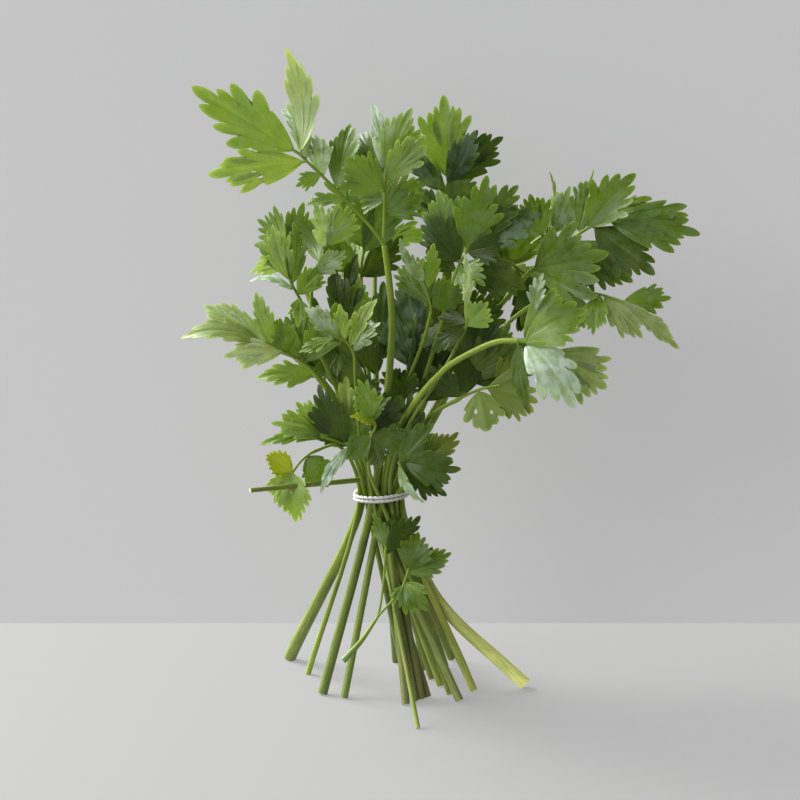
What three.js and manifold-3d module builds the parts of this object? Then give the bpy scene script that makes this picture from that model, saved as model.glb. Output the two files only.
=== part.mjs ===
// A bunch of flat-leaf parsley, tied with string and standing on its splayed stem ends.
// Millimetres, +Z up. The front of the bunch looks along -Y and its right side is +X.
// Every place below is measured from the middle of the tie; the finished bunch is then moved
// so that the origin lies under the middle of its bounding box, on the floor.

import * as THREE from "three";
import { mergeVertices } from "three/addons/utils/BufferGeometryUtils.js";
import Module from "manifold-3d";

const wasm = await Module();
wasm.setup();

// ---- driving dimensions ----

const tieHeight = 80; // floor to the middle of the tie
const bundleRadius = 10.3; // room for the stems inside the string
const stringRadius = 0.6;
const stringTurns = 2;
const stringPitch = 1.5; // rise of the string in one turn
const clearance = 0.3; // free space between neighbouring pieces
const bladeThickness = 0.8;
const rachisGirth = [1.9, 1.1]; // thickness of a leaf's midstalk where it leaves the stem and at its end
const stemSides = 6;
const stalkSides = 5;

// One leaflet seen flat: across and along, as shares of its breadth and its length.
const leafletHalf = [
  [0.025, 0],
  [0.5, 0.5],
  [0.26, 0.68],
];

// Each sprig is one stem and the leaves it carries.
//   girth: thickness of the stem at its foot and at its crown
//   foot:  x, y and height above the floor of the cut end
//   bow:   a point the stem bends through below the tie, where it has one
//   tie:   x, y where the stem passes through the string
//   rise:  the stem's points above the tie, the last of them its crown
//   leaves: for each leaf the rise point it springs from (the crown unless told), the points of
//     its midstalk, and its leaflets, each as
//     [share of the midstalk where it springs, tip x, y, z, turn, lift, breadth]
//   turn is the compass side its upper face looks to: 0 front, 90 right, 180 back, -90 left;
//   lift is how far that face tilts up from upright.
const sprigs = [
  {
    name: "01",
    girth: [3.4, 3.0],
    foot: [-24, -17, 0],
    tie: [-3, -6],
    rise: [[3, -12, 47], [4.5, -14, 73], [3, -15, 92], [1.5, -15, 103]],
    leaves: [
      {
        stalk: [[-16, -18, 124], [-32, -21, 140]],
        leaflets: [
          [1, -73, -25, 166, -5, 10, 30],
          [0.97, -35, -14, 180, 160, 10, 15],
          [0.9, -38, -4, 159, 30, 45, 11],
          [0.75, -33, -22, 127, 170, 20, 9],
          [0.45, -29, -24, 121, 10, 50, 10],
          [0.7, -25, -12, 148, 0, 30, 13],
          [0.55, -13, -8, 152, -20, 10, 15],
          [0.9, -67, -28, 132, -5, 10, 18],
        ],
      },
      {
        stalk: [[1.5, -15, 118], [2, -14, 132]],
        leaflets: [
          [0.75, -14, -26, 139, 175, -15, 21],
          [1, 13, -14, 157, -15, 5, 19],
          [0.9, 18, -18, 147, 10, 20, 14],
          [1, -9, -2, 147, 0, 0, 15],
          [1, -3, 0, 159, 10, 10, 9],
          [0.45, 17, -18, 124, 5, 0, 18],
          [0.6, -10, -8, 122, 20, 0, 14],
        ],
      },
    ],
  },
  {
    name: "02",
    girth: [2.6, 2.6],
    foot: [-15, -22, 0],
    tie: [1.5, -8],
    rise: [[7.5, -14, 29], [27, -30, 58], [45, -42, 69], [53, -46, 70]],
    leaves: [
      {
        stalk: [[59, -48, 69], [66, -50, 66]],
        leaflets: [
          [0.1, 79, -50, 83, 0, 35, 26],
          [0.3, 74, -60, 48, -15, 45, 19],
          [1, 89, -42, 50, 0, 15, 26],
          [0.2, 63, -45, 96, -50, 25, 11],
          [0.05, 54, -52, 42, -50, 10, 10],
        ],
      },
    ],
  },
  {
    name: "03",
    girth: [2.4, 2.0],
    foot: [10, -31, 0],
    tie: [7, -3],
    rise: [[23, -14, 38], [32, -18, 43]],
    leaves: [
      {
        stalk: [[40, -21, 47], [47, -24, 49]],
        leaflets: [
          [0.6, 63, -30, 44, 180, 10, 24],
          [0.45, 42, -26, 31, 175, -10, 20],
          [0.1, 35, -10, 66, 10, 0, 20],
          [0.9, 59, -14, 60, -10, 20, 18],
        ],
      },
      {
        from: 1,
        stalk: [[33, -15, 48], [35, -13, 52]],
        leaflets: [
          [0.6, 58, -8, 56, 0, 20, 22],
          [1, 30, -8, 74, -10, 0, 16],
          [0.9, 52, -12, 72, 10, 5, 17],
          [0, 19, -16, 56, -10, 5, 14],
          [1, 42, -12, 81, 0, 0, 17],
          [0.7, 62, -10, 66, 5, 10, 15],
        ],
      },
    ],
  },
  {
    name: "04",
    girth: [4.8, 2.6],
    foot: [61, -8, 0],
    bow: [21, -4, -41],
    tie: [8, 2],
    rise: [[24, 8, 34], [40, 14, 65], [60, 8, 90]],
    leaves: [
      {
        stalk: [[67, 5, 96], [74, 3, 102], [82, 1, 108], [90, 0, 112]],
        leaflets: [
          [1, 127, -8, 107, 0, 35, 26],
          [0.75, 101, 0, 131, -15, 15, 26],
          [0.85, 109, -10, 91, 15, 10, 24],
          [0.55, 101, -3, 87, 5, 0, 20],
          [0.03, 89, -16, 100, 0, 5, 33],
          [0.65, 86, 16, 128, -10, 0, 15],
          [0.4, 86, -3, 84, 15, 10, 16],
          [0.95, 112, 20, 112, 150, 30, 20],
        ],
      },
    ],
  },
  {
    name: "05",
    girth: [4.0, 2.6],
    foot: [-40, 34, 0],
    tie: [-7.5, 1],
    rise: [[-12, -2, 24], [-18, -6, 40], [-24, -8, 49]],
    leaves: [
      {
        stalk: [[-28, -11, 53], [-31, -12, 57]],
        leaflets: [
          [0.3, -49, -16, 52, -10, 30, 15],
          [1, -46, -10, 74, -20, 10, 14],
          [0.8, -17, -12, 80, 10, 0, 18],
          [1, -32, -6, 79, 0, 20, 15],
        ],
      },
    ],
  },
  {
    name: "06",
    girth: [2.4, 2.0],
    foot: [32, -27, 0],
    tie: [-5.5, -3.5],
    rise: [[-14, -9, 32], [-27, -13, 52], [-34, -14, 58]],
    leaves: [
      {
        stalk: [[-40, -16, 62], [-46, -18, 65]],
        leaflets: [
          [1, -78, -24, 70, 0, 50, 17],
          [0.9, -70, -12, 81, -10, 50, 15],
          [0.4, -62, -29, 61, -10, 30, 17],
          [0.8, -49, -14, 85, -20, 20, 10],
          [0.2, -40, -22, 76, 10, 20, 12],
        ],
      },
    ],
  },
  {
    name: "07",
    girth: [2.4, 1.8],
    foot: [24.7, -5, 0],
    tie: [-4, 3],
    rise: [[-13, 0, 32], [-25, -4, 60], [-32, -6, 80]],
    leaves: [
      {
        stalk: [[-34, -7, 84], [-36, -8, 88]],
        leaflets: [
          [1, -43, -9, 111, -20, 0, 15],
          [0.9, -35, -7, 112, 30, 0, 10],
          [0.6, -52, -14, 89, 0, 65, 10],
          [0.1, -33, -16, 70, 10, 10, 10],
          [0.4, -24, 6, 92, 0, 10, 13],
        ],
      },
    ],
  },
  {
    name: "08",
    girth: [2.2, 1.6],
    foot: [19, -22, 0],
    tie: [-6, 5],
    rise: [[-16, 6, 36], [-28, 6, 70], [-28, 5, 87]],
    leaves: [
      {
        stalk: [[-25, 3, 95], [-22, 2, 101]],
        leaflets: [
          [0.9, -27, 1, 121, 25, 0, 12],
          [1, -11, 1, 119, -15, -5, 18],
          [0.2, -14, 0, 100, 10, 10, 11],
          [0.5, -32, 16, 110, 170, 20, 14],
        ],
      },
      {
        from: 0,
        stalk: [[-18, 5, 54], [-15, 3, 66]],
        leaflets: [
          [1, -19, 3, 94, 0, 0, 11],
          [0.95, -11, 6, 98, -10, 0, 11],
          [0.9, -8, -1, 88, 10, 5, 14],
          [0.7, -24, -4, 47, -10, 20, 13],
          [0.3, -34, 3, 62, -10, 10, 17],
          [0.1, -27, 9, 80, -20, 0, 15],
        ],
      },
    ],
  },
  {
    name: "09",
    girth: [3.0, 2.2],
    foot: [18, 34, 0],
    tie: [2, 6],
    rise: [[9, 12, 38], [17, 16, 78], [24, 18, 104]],
    leaves: [
      {
        stalk: [[25, 19, 115], [27, 20, 126]],
        leaflets: [
          [1, 25, 19, 161, 0, 5, 27],
          [1, 50, 23, 143, 10, 25, 19],
          [0.9, 38, 12, 147, 15, 10, 14],
          [0.8, 12, 22, 138, -20, 10, 12],
          [0.3, 15, 14, 124, -10, 0, 16],
          [0.4, 38, 34, 128, 160, 20, 18],
        ],
      },
    ],
  },
  {
    name: "10",
    girth: [2.6, 2.2],
    foot: [16, -25, 0],
    tie: [4.5, -1],
    rise: [[15, -2, 38], [24, -4, 70], [30, -6, 92]],
    leaves: [
      {
        stalk: [[33, -6, 98], [36, -6, 103]],
        leaflets: [
          [0.6, 42, -10, 131, 0, 5, 22],
          [1, 55, 2, 127, -5, 10, 20],
          [0.9, 64, -4, 116, 10, 30, 21],
          [0.2, 17, -2, 114, -10, 5, 19],
          [0.1, 41, -20, 88, 5, 10, 18],
          [0.5, 30, 14, 118, 175, 10, 16],
          [0.7, 50, -9, 103, 20, 15, 20],
          [0.3, 23, 3, 124, -15, 0, 18],
          [0, 17, 0, 101, -10, 0, 13],
          [0.2, 58, -8, 85, 10, 5, 18],
        ],
      },
      {
        from: 0,
        stalk: [[21, 0, 50], [26, 2, 62]],
        leaflets: [
          [0.5, 28, -2, 78, 0, 5, 11],
          [1, 27, 3, 95, 0, 0, 18],
          [0.9, 50, 4, 82, 10, 10, 19],
          [0.6, 45, 7, 65, 10, 10, 15],
          [0, 33, 6, 74, 15, 5, 17],
          [0.1, 14, 8, 76, -10, 0, 15],
          [0, 28, -8, 52, 10, 0, 14],
        ],
      },
    ],
  },
  {
    name: "11",
    girth: [2.6, 2.0],
    foot: [27, 22, 0],
    tie: [5.5, 6],
    rise: [[19, 12, 38], [35, 20, 70], [52, 22, 92], [66, 22, 103]],
    leaves: [
      {
        stalk: [[72, 21, 106], [78, 20, 110]],
        leaflets: [
          [0.1, 70, 24, 130, 70, 5, 10],
          [0.4, 77, 20, 124, 0, 10, 14],
          [1, 86, 19, 131, 65, 10, 8],
          [0, 60, 10, 122, -10, 10, 17],
          [1, 100, 28, 120, 150, 30, 20],
          [0.2, 58, 34, 112, 170, 20, 20],
        ],
      },
      {
        from: 2,
        stalk: [[57, 19, 89], [62, 16, 86]],
        leaflets: [
          [1, 84, 10, 76, 0, 20, 18],
          [0.8, 66, 9, 64, 0, 0, 18],
          [0.3, 49, 12, 76, -20, 10, 17],
          [0.1, 60, 12, 108, 10, 10, 20],
          [0.6, 60, 8, 60, -5, 0, 16],
          [0, 42, 14, 98, -10, 10, 15],
        ],
      },
    ],
  },
  {
    name: "12",
    girth: [2.4, 1.8],
    foot: [38, -12, 0],
    tie: [7.5, -2],
    rise: [[24, 0, 40], [40, -2, 60], [60, -5, 78], [74, -6, 83]],
    leaves: [
      {
        stalk: [[87, -8, 83], [96, -10, 80]],
        leaflets: [
          [1, 116, -10, 82, 5, 15, 14],
          [0.98, 119, -14, 62, 20, 10, 8],
          [0.6, 104, -16, 67, 5, 20, 15],
          [0.5, 84, -15, 68, -10, 15, 13],
          [0.2, 78, 10, 66, 160, 20, 16],
        ],
      },
    ],
  },
  {
    name: "13",
    girth: [2.2, 1.6],
    foot: [13.5, -28, 0],
    tie: [1.5, 1.5],
    rise: [[8, -2, 38], [17, -6, 64], [20, -8, 76]],
    leaves: [
      {
        stalk: [[19, -9, 82], [17, -11, 88]],
        leaflets: [
          [1, 7, -16, 106, -40, 5, 10],
          [0.7, 21, -12, 104, 0, 5, 9],
          [0.2, 11, 4, 96, 0, 0, 19],
          [0.1, 33, -6, 88, 10, 0, 16],
        ],
      },
      {
        from: 0,
        stalk: [[12, 0, 50], [15, 1, 60]],
        leaflets: [
          [1, 9, 3, 90, 0, 0, 17],
          [1, 19, 1, 84, 20, 10, 10],
          [0.6, 1, 3, 74, -20, 10, 15],
          [0.9, 23, -3, 71, 30, 20, 8],
          [0.3, 24, 8, 78, 15, 0, 15],
          [0, 3, -7, 56, 0, 0, 13],
          [0, 14, -8, 52, 10, 5, 12],
        ],
      },
    ],
  },
  {
    name: "14",
    girth: [1.8, 1.4],
    foot: [37, -6, 0],
    tie: [3.5, -7.5],
    rise: [[10, -17, 30], [25, -23, 55], [33, -26, 71]],
    leaves: [
      {
        stalk: [[34, -27, 76], [34, -27, 80]],
        leaflets: [
          [1, 34, -29, 102, 55, 0, 10],
          [0.2, 42, -31, 83, 0, 10, 14],
          [0.1, 19, -24, 62, 10, 30, 10],
          [0.3, 22, -22, 76, -10, 20, 9],
        ],
      },
    ],
  },
  {
    name: "15",
    girth: [1.6, 1.2],
    foot: [14.8, -62, 0],
    tie: [-3.5, -8.5],
    rise: [[-9, -18, 31], [-10, -22, 49], [-10.5, -24, 61]],
    leaves: [
      {
        stalk: [[-13, -26, 66], [-17, -28, 69]],
        leaflets: [
          [0.1, 0, -31, 75, 0, 50, 12],
          [0.3, -2, -27, 84, -30, 10, 8],
          [0.6, -16, -26, 82, 0, 20, 9],
          [1, -32, -31, 63, -10, 50, 9],
          [0.9, -30, -25, 80, -20, 30, 10],
        ],
      },
    ],
  },
  {
    name: "16",
    girth: [2.4, 1.8],
    foot: [9, 8, 3],
    tie: [-6.5, -1.5],
    rise: [[-10.5, -11, 17], [-13, -13, 22]],
    leaves: [
      {
        stalk: [[-18, -16, 25], [-23, -18, 27]],
        leaflets: [
          [1, -44, -22, 33, -10, 40, 14],
          [0.9, -34, -16, 41, -10, 30, 14],
          [1, -48, -24, 24, 0, 50, 8],
          [0.1, -25, -17, 48, -15, 5, 18],
          [0, -25, -10, 34, -30, 10, 15],
          [0.05, -14, -6, 50, 10, 0, 14],
          [0, -5, -14, 35, 0, 5, 13],
          [0, -24, -26, 6, -10, 40, 6],
        ],
      },
    ],
  },
  {
    name: "17",
    girth: [1.8, 1.4],
    foot: [-31, 12, 0],
    tie: [-8.2, -2.5],
    rise: [[-12, -8, 15], [-18, -14, 23], [-28, -21, 21]],
    leaves: [
      {
        stalk: [[-32, -23, 18], [-35, -24, 14]],
        leaflets: [
          [1, -34, -30, -5, -10, -10, 18],
          [1, -45.5, -26, 21.5, -10, 20, 12],
          [0.1, -21, -17, 6, 10, -10, 16],
          [1, -43, -28, 3, -20, 0, 13],
        ],
      },
    ],
  },
  {
    name: "18",
    girth: [2.8, 2.0],
    foot: [17.5, 13, 2],
    tie: [6.5, -6.5],
    rise: [[13, -13, 10], [14, -16.5, 15]],
    leaves: [
      {
        stalk: [[11, -20, 18], [7, -23, 17.5]],
        leaflets: [
          [0.1, 31, -20, 29, 40, 25, 15],
          [0.8, 32, -21, 15, 30, -5, 20],
          [1, 21, -20, 33, 0, 10, 19],
          [0.9, 26, -27, 5, -10, 30, 16],
          [1, 18, -30, 3, -50, -10, 8],
          [0, 11, -10, 44, -20, 5, 14],
        ],
      },
    ],
  },
  {
    name: "19",
    girth: [2.0, 1.6],
    foot: [28, -17, 0],
    tie: [-1, -9],
    rise: [[-5, -17, 14], [-4, -21, 28]],
    leaves: [
      {
        stalk: [[-2, -22, 32], [-3, -23, 35]],
        leaflets: [
          [1, -9, -27, 52, 20, -10, 13],
          [0.8, -11, -28, 38, 0, 40, 8],
          [0.9, 3, -26, 45, -60, 0, 7],
          [0.1, 7, -14, 46, 10, 0, 15],
          [0.3, -6, -14, 50, -10, 5, 13],
          [0, 13, -21, 27, 10, 0, 15],
          [0, -14, -24, 19, -10, -5, 13],
          [0, 0, -23, 15, 5, -5, 11],
          [0, 8, -18, 44, 5, 0, 15],
        ],
      },
    ],
  },
  {
    name: "20",
    girth: [1.8, 1.4],
    foot: [-15, -40, 21],
    rise: [[-8, -37, -52], [-1.5, -34, -43]],
    leaves: [
      {
        stalk: [[1, -30, -30], [2, -26, -16]],
        leaflets: [
          [1, -3, -21, -3, -10, -10, 9],
          [0.95, 16, -24, -4, 5, 0, 15],
          [0.9, 9, -17, -3, 10, 0, 12],
        ],
      },
      {
        stalk: [[8, -36, -31], [11, -36, -23]],
        leaflets: [
          [1, 15, -36, -8, 0, 5, 16],
          [0.9, 28, -36, -16, 5, 10, 13],
          [0.7, 17, -43, -38, 5, -20, 17],
          [0.6, 5, -40, -36, -20, 20, 7],
        ],
      },
    ],
  },
  {
    name: "21",
    girth: [2.8, 2.2],
    foot: [12, 38, 0],
    tie: [-3.5, 7],
    rise: [[-14, 20, 34], [-26, 36, 64], [-33, 44, 80]],
    leaves: [
      {
        stalk: [[-37, 48, 87], [-41, 52, 93]],
        leaflets: [
          [1, -54, 64, 106, -150, 35, 24],
          [0.8, -34, 66, 112, 170, 30, 20],
          [0.5, -56, 46, 86, -110, 30, 20],
          [0.2, -36, 70, 78, 180, 20, 20],
          [0.1, -48, 34, 104, -60, 30, 18],
        ],
      },
    ],
  },
  {
    name: "22",
    girth: [2.8, 2.2],
    foot: [6, 30, 0],
    tie: [0, 9],
    rise: [[-2, 22, 36], [-3, 36, 70], [-3, 44, 90]],
    leaves: [
      {
        stalk: [[-3, 48, 100], [-2, 52, 109]],
        leaflets: [
          [1, -4, 64, 142, 180, 30, 24],
          [0.8, 20, 62, 124, 160, 30, 20],
          [0.7, -24, 62, 122, -160, 30, 20],
          [0.2, 22, 68, 98, 160, 20, 22],
          [0.1, -20, 70, 92, -170, 20, 20],
        ],
      },
      {
        from: 0,
        stalk: [[-6, 27, 43], [-8, 30, 50]],
        leaflets: [
          [1, -9, 32, 80, 180, 10, 20],
          [0.8, -26, 30, 66, -160, 10, 18],
          [0.5, -24, 28, 47, -150, 20, 18],
          [0.9, 6, 34, 68, 170, 15, 18],
        ],
      },
    ],
  },
  {
    name: "23",
    girth: [3.0, 2.2],
    foot: [30, 34, 0],
    tie: [3.5, 8.5],
    rise: [[14, 22, 34], [30, 38, 62], [40, 46, 76]],
    leaves: [
      {
        stalk: [[45, 50, 82], [51, 54, 87]],
        leaflets: [
          [1, 76, 64, 104, 140, 35, 24],
          [0.8, 50, 66, 112, 170, 30, 20],
          [0.5, 76, 46, 80, 110, 20, 20],
          [0.2, 46, 72, 74, 170, 20, 20],
        ],
      },
      {
        from: 0,
        stalk: [[19, 27, 43], [22, 30, 50]],
        leaflets: [
          [1, 26, 32, 79, 175, 10, 20],
          [0.8, 41, 32, 63, 150, 15, 18],
          [0.5, 38, 30, 44, 140, 20, 18],
          [0.9, 11, 34, 70, 180, 15, 18],
        ],
      },
    ],
  },
  {
    name: "24",
    girth: [2.4, 1.8],
    foot: [21, 5, 0],
    tie: [-0.5, 3.5],
    rise: [[-4, 8, 36], [-7, 12, 70], [-8, 12, 84]],
    leaves: [
      {
        stalk: [[-8, 11, 92], [-7, 10, 99]],
        leaflets: [
          [1, -14, 10, 124, 0, 0, 19],
          [0.9, 6, 14, 122, 0, 5, 18],
          [0.3, -27, 10, 104, -10, 0, 17],
          [0.2, 9, 18, 104, 5, 0, 18],
          [0.1, -16, 26, 100, 180, 20, 18],
        ],
      },
      {
        from: 0,
        stalk: [[-2, 5, 48], [0, 4, 56]],
        leaflets: [
          [1, 1, 6, 87, 0, 0, 12],
          [0.5, -6, 3, 66, -10, 10, 13],
          [0.9, 8, 6, 72, 20, 10, 14],
          [0, -8, -1, 51, -10, 0, 14],
        ],
      },
    ],
  },
];

// A side stalk with its leaf gone, pointing left from beside stem 05 just above the tie.
const stub = {
  girth: [1.8, 2.2],
  points: [[-51, -40, 10], [-30, -25.5, 9], [-9, -11, 8]],
};

// ---- helpers ----

const vector = (p) => new THREE.Vector3(...p);

/** A closed mesh as a manifold solid. */
function solid(geometry) {
  const bare = geometry.clone();
  bare.deleteAttribute("normal");
  bare.deleteAttribute("uv");
  const merged = mergeVertices(bare, 1e-4);
  return new wasm.Manifold(
    new wasm.Mesh({
      numProp: 3,
      vertProperties: Float32Array.from(merged.attributes.position.array),
      triVerts: Uint32Array.from(merged.index.array),
    }),
  );
}

/** A manifold solid as a three.js geometry. */
function geometryOf(body) {
  const mesh = body.getMesh();
  const geometry = new THREE.BufferGeometry();
  geometry.setAttribute("position", new THREE.BufferAttribute(mesh.vertProperties, 3));
  geometry.setIndex(new THREE.BufferAttribute(mesh.triVerts, 1));
  const faceted = geometry.toNonIndexed();
  faceted.computeVertexNormals();
  return faceted;
}

const ringGuide = new THREE.Vector3(0.3, 1, 0.1).normalize(); // no stalk runs this way

/** Leaves out the points that a smooth line through the others already passes. */
function fewer(points, slack = 0.18) {
  if (points.length < 3) return points;
  const ends = new THREE.Line3(points[0], points[points.length - 1]);
  let worst = 0;
  let far = slack;
  for (let i = 1; i < points.length - 1; i++) {
    const off = ends.closestPointToPoint(points[i], true, new THREE.Vector3()).distanceTo(points[i]);
    if (off > far) [worst, far] = [i, off];
  }
  if (worst === 0) return [points[0], points[points.length - 1]];
  return [...fewer(points.slice(0, worst + 1), slack).slice(0, -1), ...fewer(points.slice(worst), slack)];
}

/** A tapered round stalk through a list of points, closed at both ends. */
function stalk(points, girth, sides, grow = 0) {
  const position = [];
  const last = points.length - 1;
  const lengths = [0];
  for (let i = 1; i <= last; i++) lengths.push(lengths[i - 1] + points[i].distanceTo(points[i - 1]));
  for (const [i, point] of points.entries()) {
    const tangent = points[Math.min(i + 1, last)].clone().sub(points[Math.max(i - 1, 0)]).normalize();
    const side = ringGuide.clone().cross(tangent).normalize();
    const other = tangent.clone().cross(side);
    const radius = THREE.MathUtils.lerp(girth[0], girth[1], lengths[i] / lengths[last]) / 2 + grow;
    const overrun = i === 0 ? -grow : i === last ? grow : 0;
    const centre = point.clone().addScaledVector(tangent, overrun);
    for (let k = 0; k < sides; k++) {
      const angle = (2 * Math.PI * k) / sides;
      const rim = centre
        .clone()
        .addScaledVector(side, radius * Math.cos(angle))
        .addScaledVector(other, radius * Math.sin(angle));
      position.push(rim.x, rim.y, rim.z);
    }
  }
  const index = [];
  for (let i = 0; i < last; i++) {
    for (let k = 0; k < sides; k++) {
      const a = i * sides + k;
      const b = i * sides + ((k + 1) % sides);
      index.push(a, b, b + sides, a, b + sides, a + sides);
    }
  }
  for (let k = 1; k < sides - 1; k++) {
    index.push(0, k + 1, k, last * sides, last * sides + k, last * sides + k + 1);
  }
  const geometry = new THREE.BufferGeometry();
  geometry.setAttribute("position", new THREE.Float32BufferAttribute(position, 3));
  geometry.setIndex(index);
  return geometry;
}

/** The lobed blade of a leaflet, from its base to its tip, facing the given way. */
function blade(base, tip, turn, lift, breadth, grow = 0) {
  const along = tip.clone().sub(base);
  const length = along.length();
  along.normalize();
  const heading = THREE.MathUtils.degToRad(turn);
  const rise = THREE.MathUtils.degToRad(lift);
  const face = new THREE.Vector3(
    Math.sin(heading) * Math.cos(rise),
    -Math.cos(heading) * Math.cos(rise),
    Math.sin(rise),
  );
  face.addScaledVector(along, -face.dot(along)).normalize();
  const across = along.clone().cross(face);

  const right = leafletHalf.map(([x, y]) => new THREE.Vector2(x * breadth + grow, y * length));
  const left = leafletHalf.map(([x, y]) => new THREE.Vector2(-x * breadth - grow, y * length));
  const outline = [...right, new THREE.Vector2(0, length + grow), ...left.reverse()];
  const thickness = bladeThickness + 2 * grow;
  const geometry = new THREE.ExtrudeGeometry(new THREE.Shape(outline), {
    depth: thickness,
    bevelEnabled: false,
  });
  geometry.translate(0, 0, -thickness / 2);
  geometry.applyMatrix4(new THREE.Matrix4().makeBasis(across, along, face).setPosition(base));
  return geometry;
}

/** The point a share of the way along a broken line. */
function pointOn(line, share) {
  const at = share * (line.length - 1);
  const i = Math.min(Math.floor(at), line.length - 2);
  return line[i].clone().lerp(line[i + 1], at - i);
}

// ---- the stems: drawn together by the string without passing through each other ----

const levelStep = 6;
const highestLevel = 54;
const rounds = 200;
const evening = 0.2; // how much of a stem's shift its neighbouring levels share

/** The stem's centre line as points at every level up to highestLevel, then its own points. */
function planPath(sprig) {
  const points = [vector([sprig.foot[0], sprig.foot[1], sprig.foot[2] - tieHeight])];
  if (sprig.bow) points.push(vector(sprig.bow));
  if (sprig.tie) points.push(vector([...sprig.tie, 0]));
  points.push(...sprig.rise.map(vector));
  if (!sprig.tie) return { held: [], free: points };

  const curve = new THREE.CatmullRomCurve3(points, false, "centripetal");
  const crown = points[points.length - 1];
  const fine = curve.getPoints(400);
  const held = [points[0]];
  const top = Math.min(highestLevel, crown.z - levelStep);
  for (let z = Math.ceil(points[0].z / levelStep + 0.6) * levelStep; z <= top; z += levelStep) {
    const next = fine.findIndex((p) => p.z >= z);
    if (next < 1) break;
    const below = fine[next - 1];
    held.push(below.clone().lerp(fine[next], (z - below.z) / (fine[next].z - below.z)));
  }
  const free = points.filter((p) => p.z > held[held.length - 1].z + levelStep / 2);
  return { held, free };
}

const paths = sprigs.map(planPath);
for (const path of paths) path.home = path.held.map((p) => p.clone());

/** Radius of a stem at a held level, taken a little wide for its slope. */
function reach(index, level) {
  const { girth, foot } = sprigs[index];
  const held = paths[index].held;
  const span = sprigs[index].rise[sprigs[index].rise.length - 1][2] - (foot[2] - tieHeight);
  const share = (held[level].z - held[0].z) / span;
  const from = held[Math.max(level - 1, 0)];
  const to = held[Math.min(level + 1, held.length - 1)];
  const slope = (to.z - from.z) / to.distanceTo(from);
  return THREE.MathUtils.lerp(girth[0], girth[1], share) / 2 / Math.max(slope, 0.6);
}

for (let round = 0; round < rounds; round++) {
  for (let a = 0; a < paths.length; a++) {
    for (let b = a + 1; b < paths.length; b++) {
      for (let i = 1; i < paths[a].held.length; i++) {
        const p = paths[a].held[i];
        const j = paths[b].held.findIndex((other) => Math.abs(other.z - p.z) < 0.01);
        if (j < 1) continue;
        const q = paths[b].held[j];
        const room = reach(a, i) + reach(b, j) + clearance + 0.15;
        const gapX = q.x - p.x;
        const gapY = q.y - p.y;
        const apart = Math.hypot(gapX, gapY) || 0.01;
        if (apart >= room) continue;
        const push = (room - apart) / 2 / apart;
        p.x -= gapX * push;
        p.y -= gapY * push;
        q.x += gapX * push;
        q.y += gapY * push;
      }
    }
  }
  for (const [a, { held, home }] of paths.entries()) {
    const shift = held.map((p, i) => p.clone().sub(home[i]));
    for (let i = 1; i < held.length; i++) {
      const p = held[i];
      if (i < held.length - 1) {
        p.addScaledVector(shift[i - 1], evening);
        p.addScaledVector(shift[i + 1], evening);
        p.addScaledVector(shift[i], -2 * evening);
      }
      const limit = bundleRadius - 2 * clearance - reach(a, i);
      const out = Math.hypot(p.x, p.y);
      if (Math.abs(p.z) < levelStep && out > limit) {
        p.x *= limit / out;
        p.y *= limit / out;
      }
    }
  }
}

// ---- the pieces ----

const stemColour = (share) => new THREE.Color().setHSL(0.2 + 0.05 * share, 0.42, 0.4);
const leafColour = (share) => new THREE.Color().setHSL(0.27 - 0.03 * share, 0.55, 0.24 + 0.06 * share);
const group = new THREE.Group();

function addPiece(name, body, colour, roughness) {
  const material = new THREE.MeshStandardMaterial({ color: colour, roughness, metalness: 0 });
  const mesh = new THREE.Mesh(geometryOf(body), material);
  mesh.name = name;
  group.add(mesh);
}

const floorBox = new THREE.BoxGeometry(400, 400, 40);
floorBox.translate(0, 0, -tieHeight - 20);
const floor = solid(floorBox);

const taken = []; // every finished piece with its clearance around it

/** Cuts away what would touch a finished piece, and keeps the largest part that is left. */
function clearOf(body) {
  let cut = body;
  for (const piece of taken) {
    const box = body.boundingBox();
    const apart = [0, 1, 2].some((k) => piece.box.max[k] < box.min[k] || piece.box.min[k] > box.max[k]);
    if (!apart) cut = cut.subtract(piece.body);
  }
  const parts = cut.decompose();
  return parts.reduce((best, part) => (part.volume() > best.volume() ? part : best));
}

function take(body) {
  taken.push({ body, box: body.boundingBox() });
}

const stemLines = []; // the finished centre lines, for the leaves to spring from

for (const [i, sprig] of sprigs.entries()) {
  const points = [...paths[i].held, ...paths[i].free];
  const rests = sprig.foot[2] === 0;
  if (rests) {
    const down = points[0].clone().sub(points[1]).normalize();
    points[0] = points[0].clone().addScaledVector(down, 3);
  }
  const fine = new THREE.CatmullRomCurve3(points, false, "centripetal").getPoints(6 * points.length);
  const line = fewer(fine);
  stemLines.push(fine);
  const body = clearOf(solid(stalk(line, sprig.girth, stemSides)));
  const standing = rests ? body.subtract(floor) : body;
  addPiece(`stem_${sprig.name}`, standing, stemColour(i / sprigs.length), 0.5);
  take(solid(stalk(line, sprig.girth, stemSides, clearance)));
}

const stubPoints = stub.points.map(vector);
addPiece("stem_stub", clearOf(solid(stalk(stubPoints, stub.girth, stemSides))), stemColour(0.5), 0.5);
take(solid(stalk(stubPoints, stub.girth, stemSides, clearance)));

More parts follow.
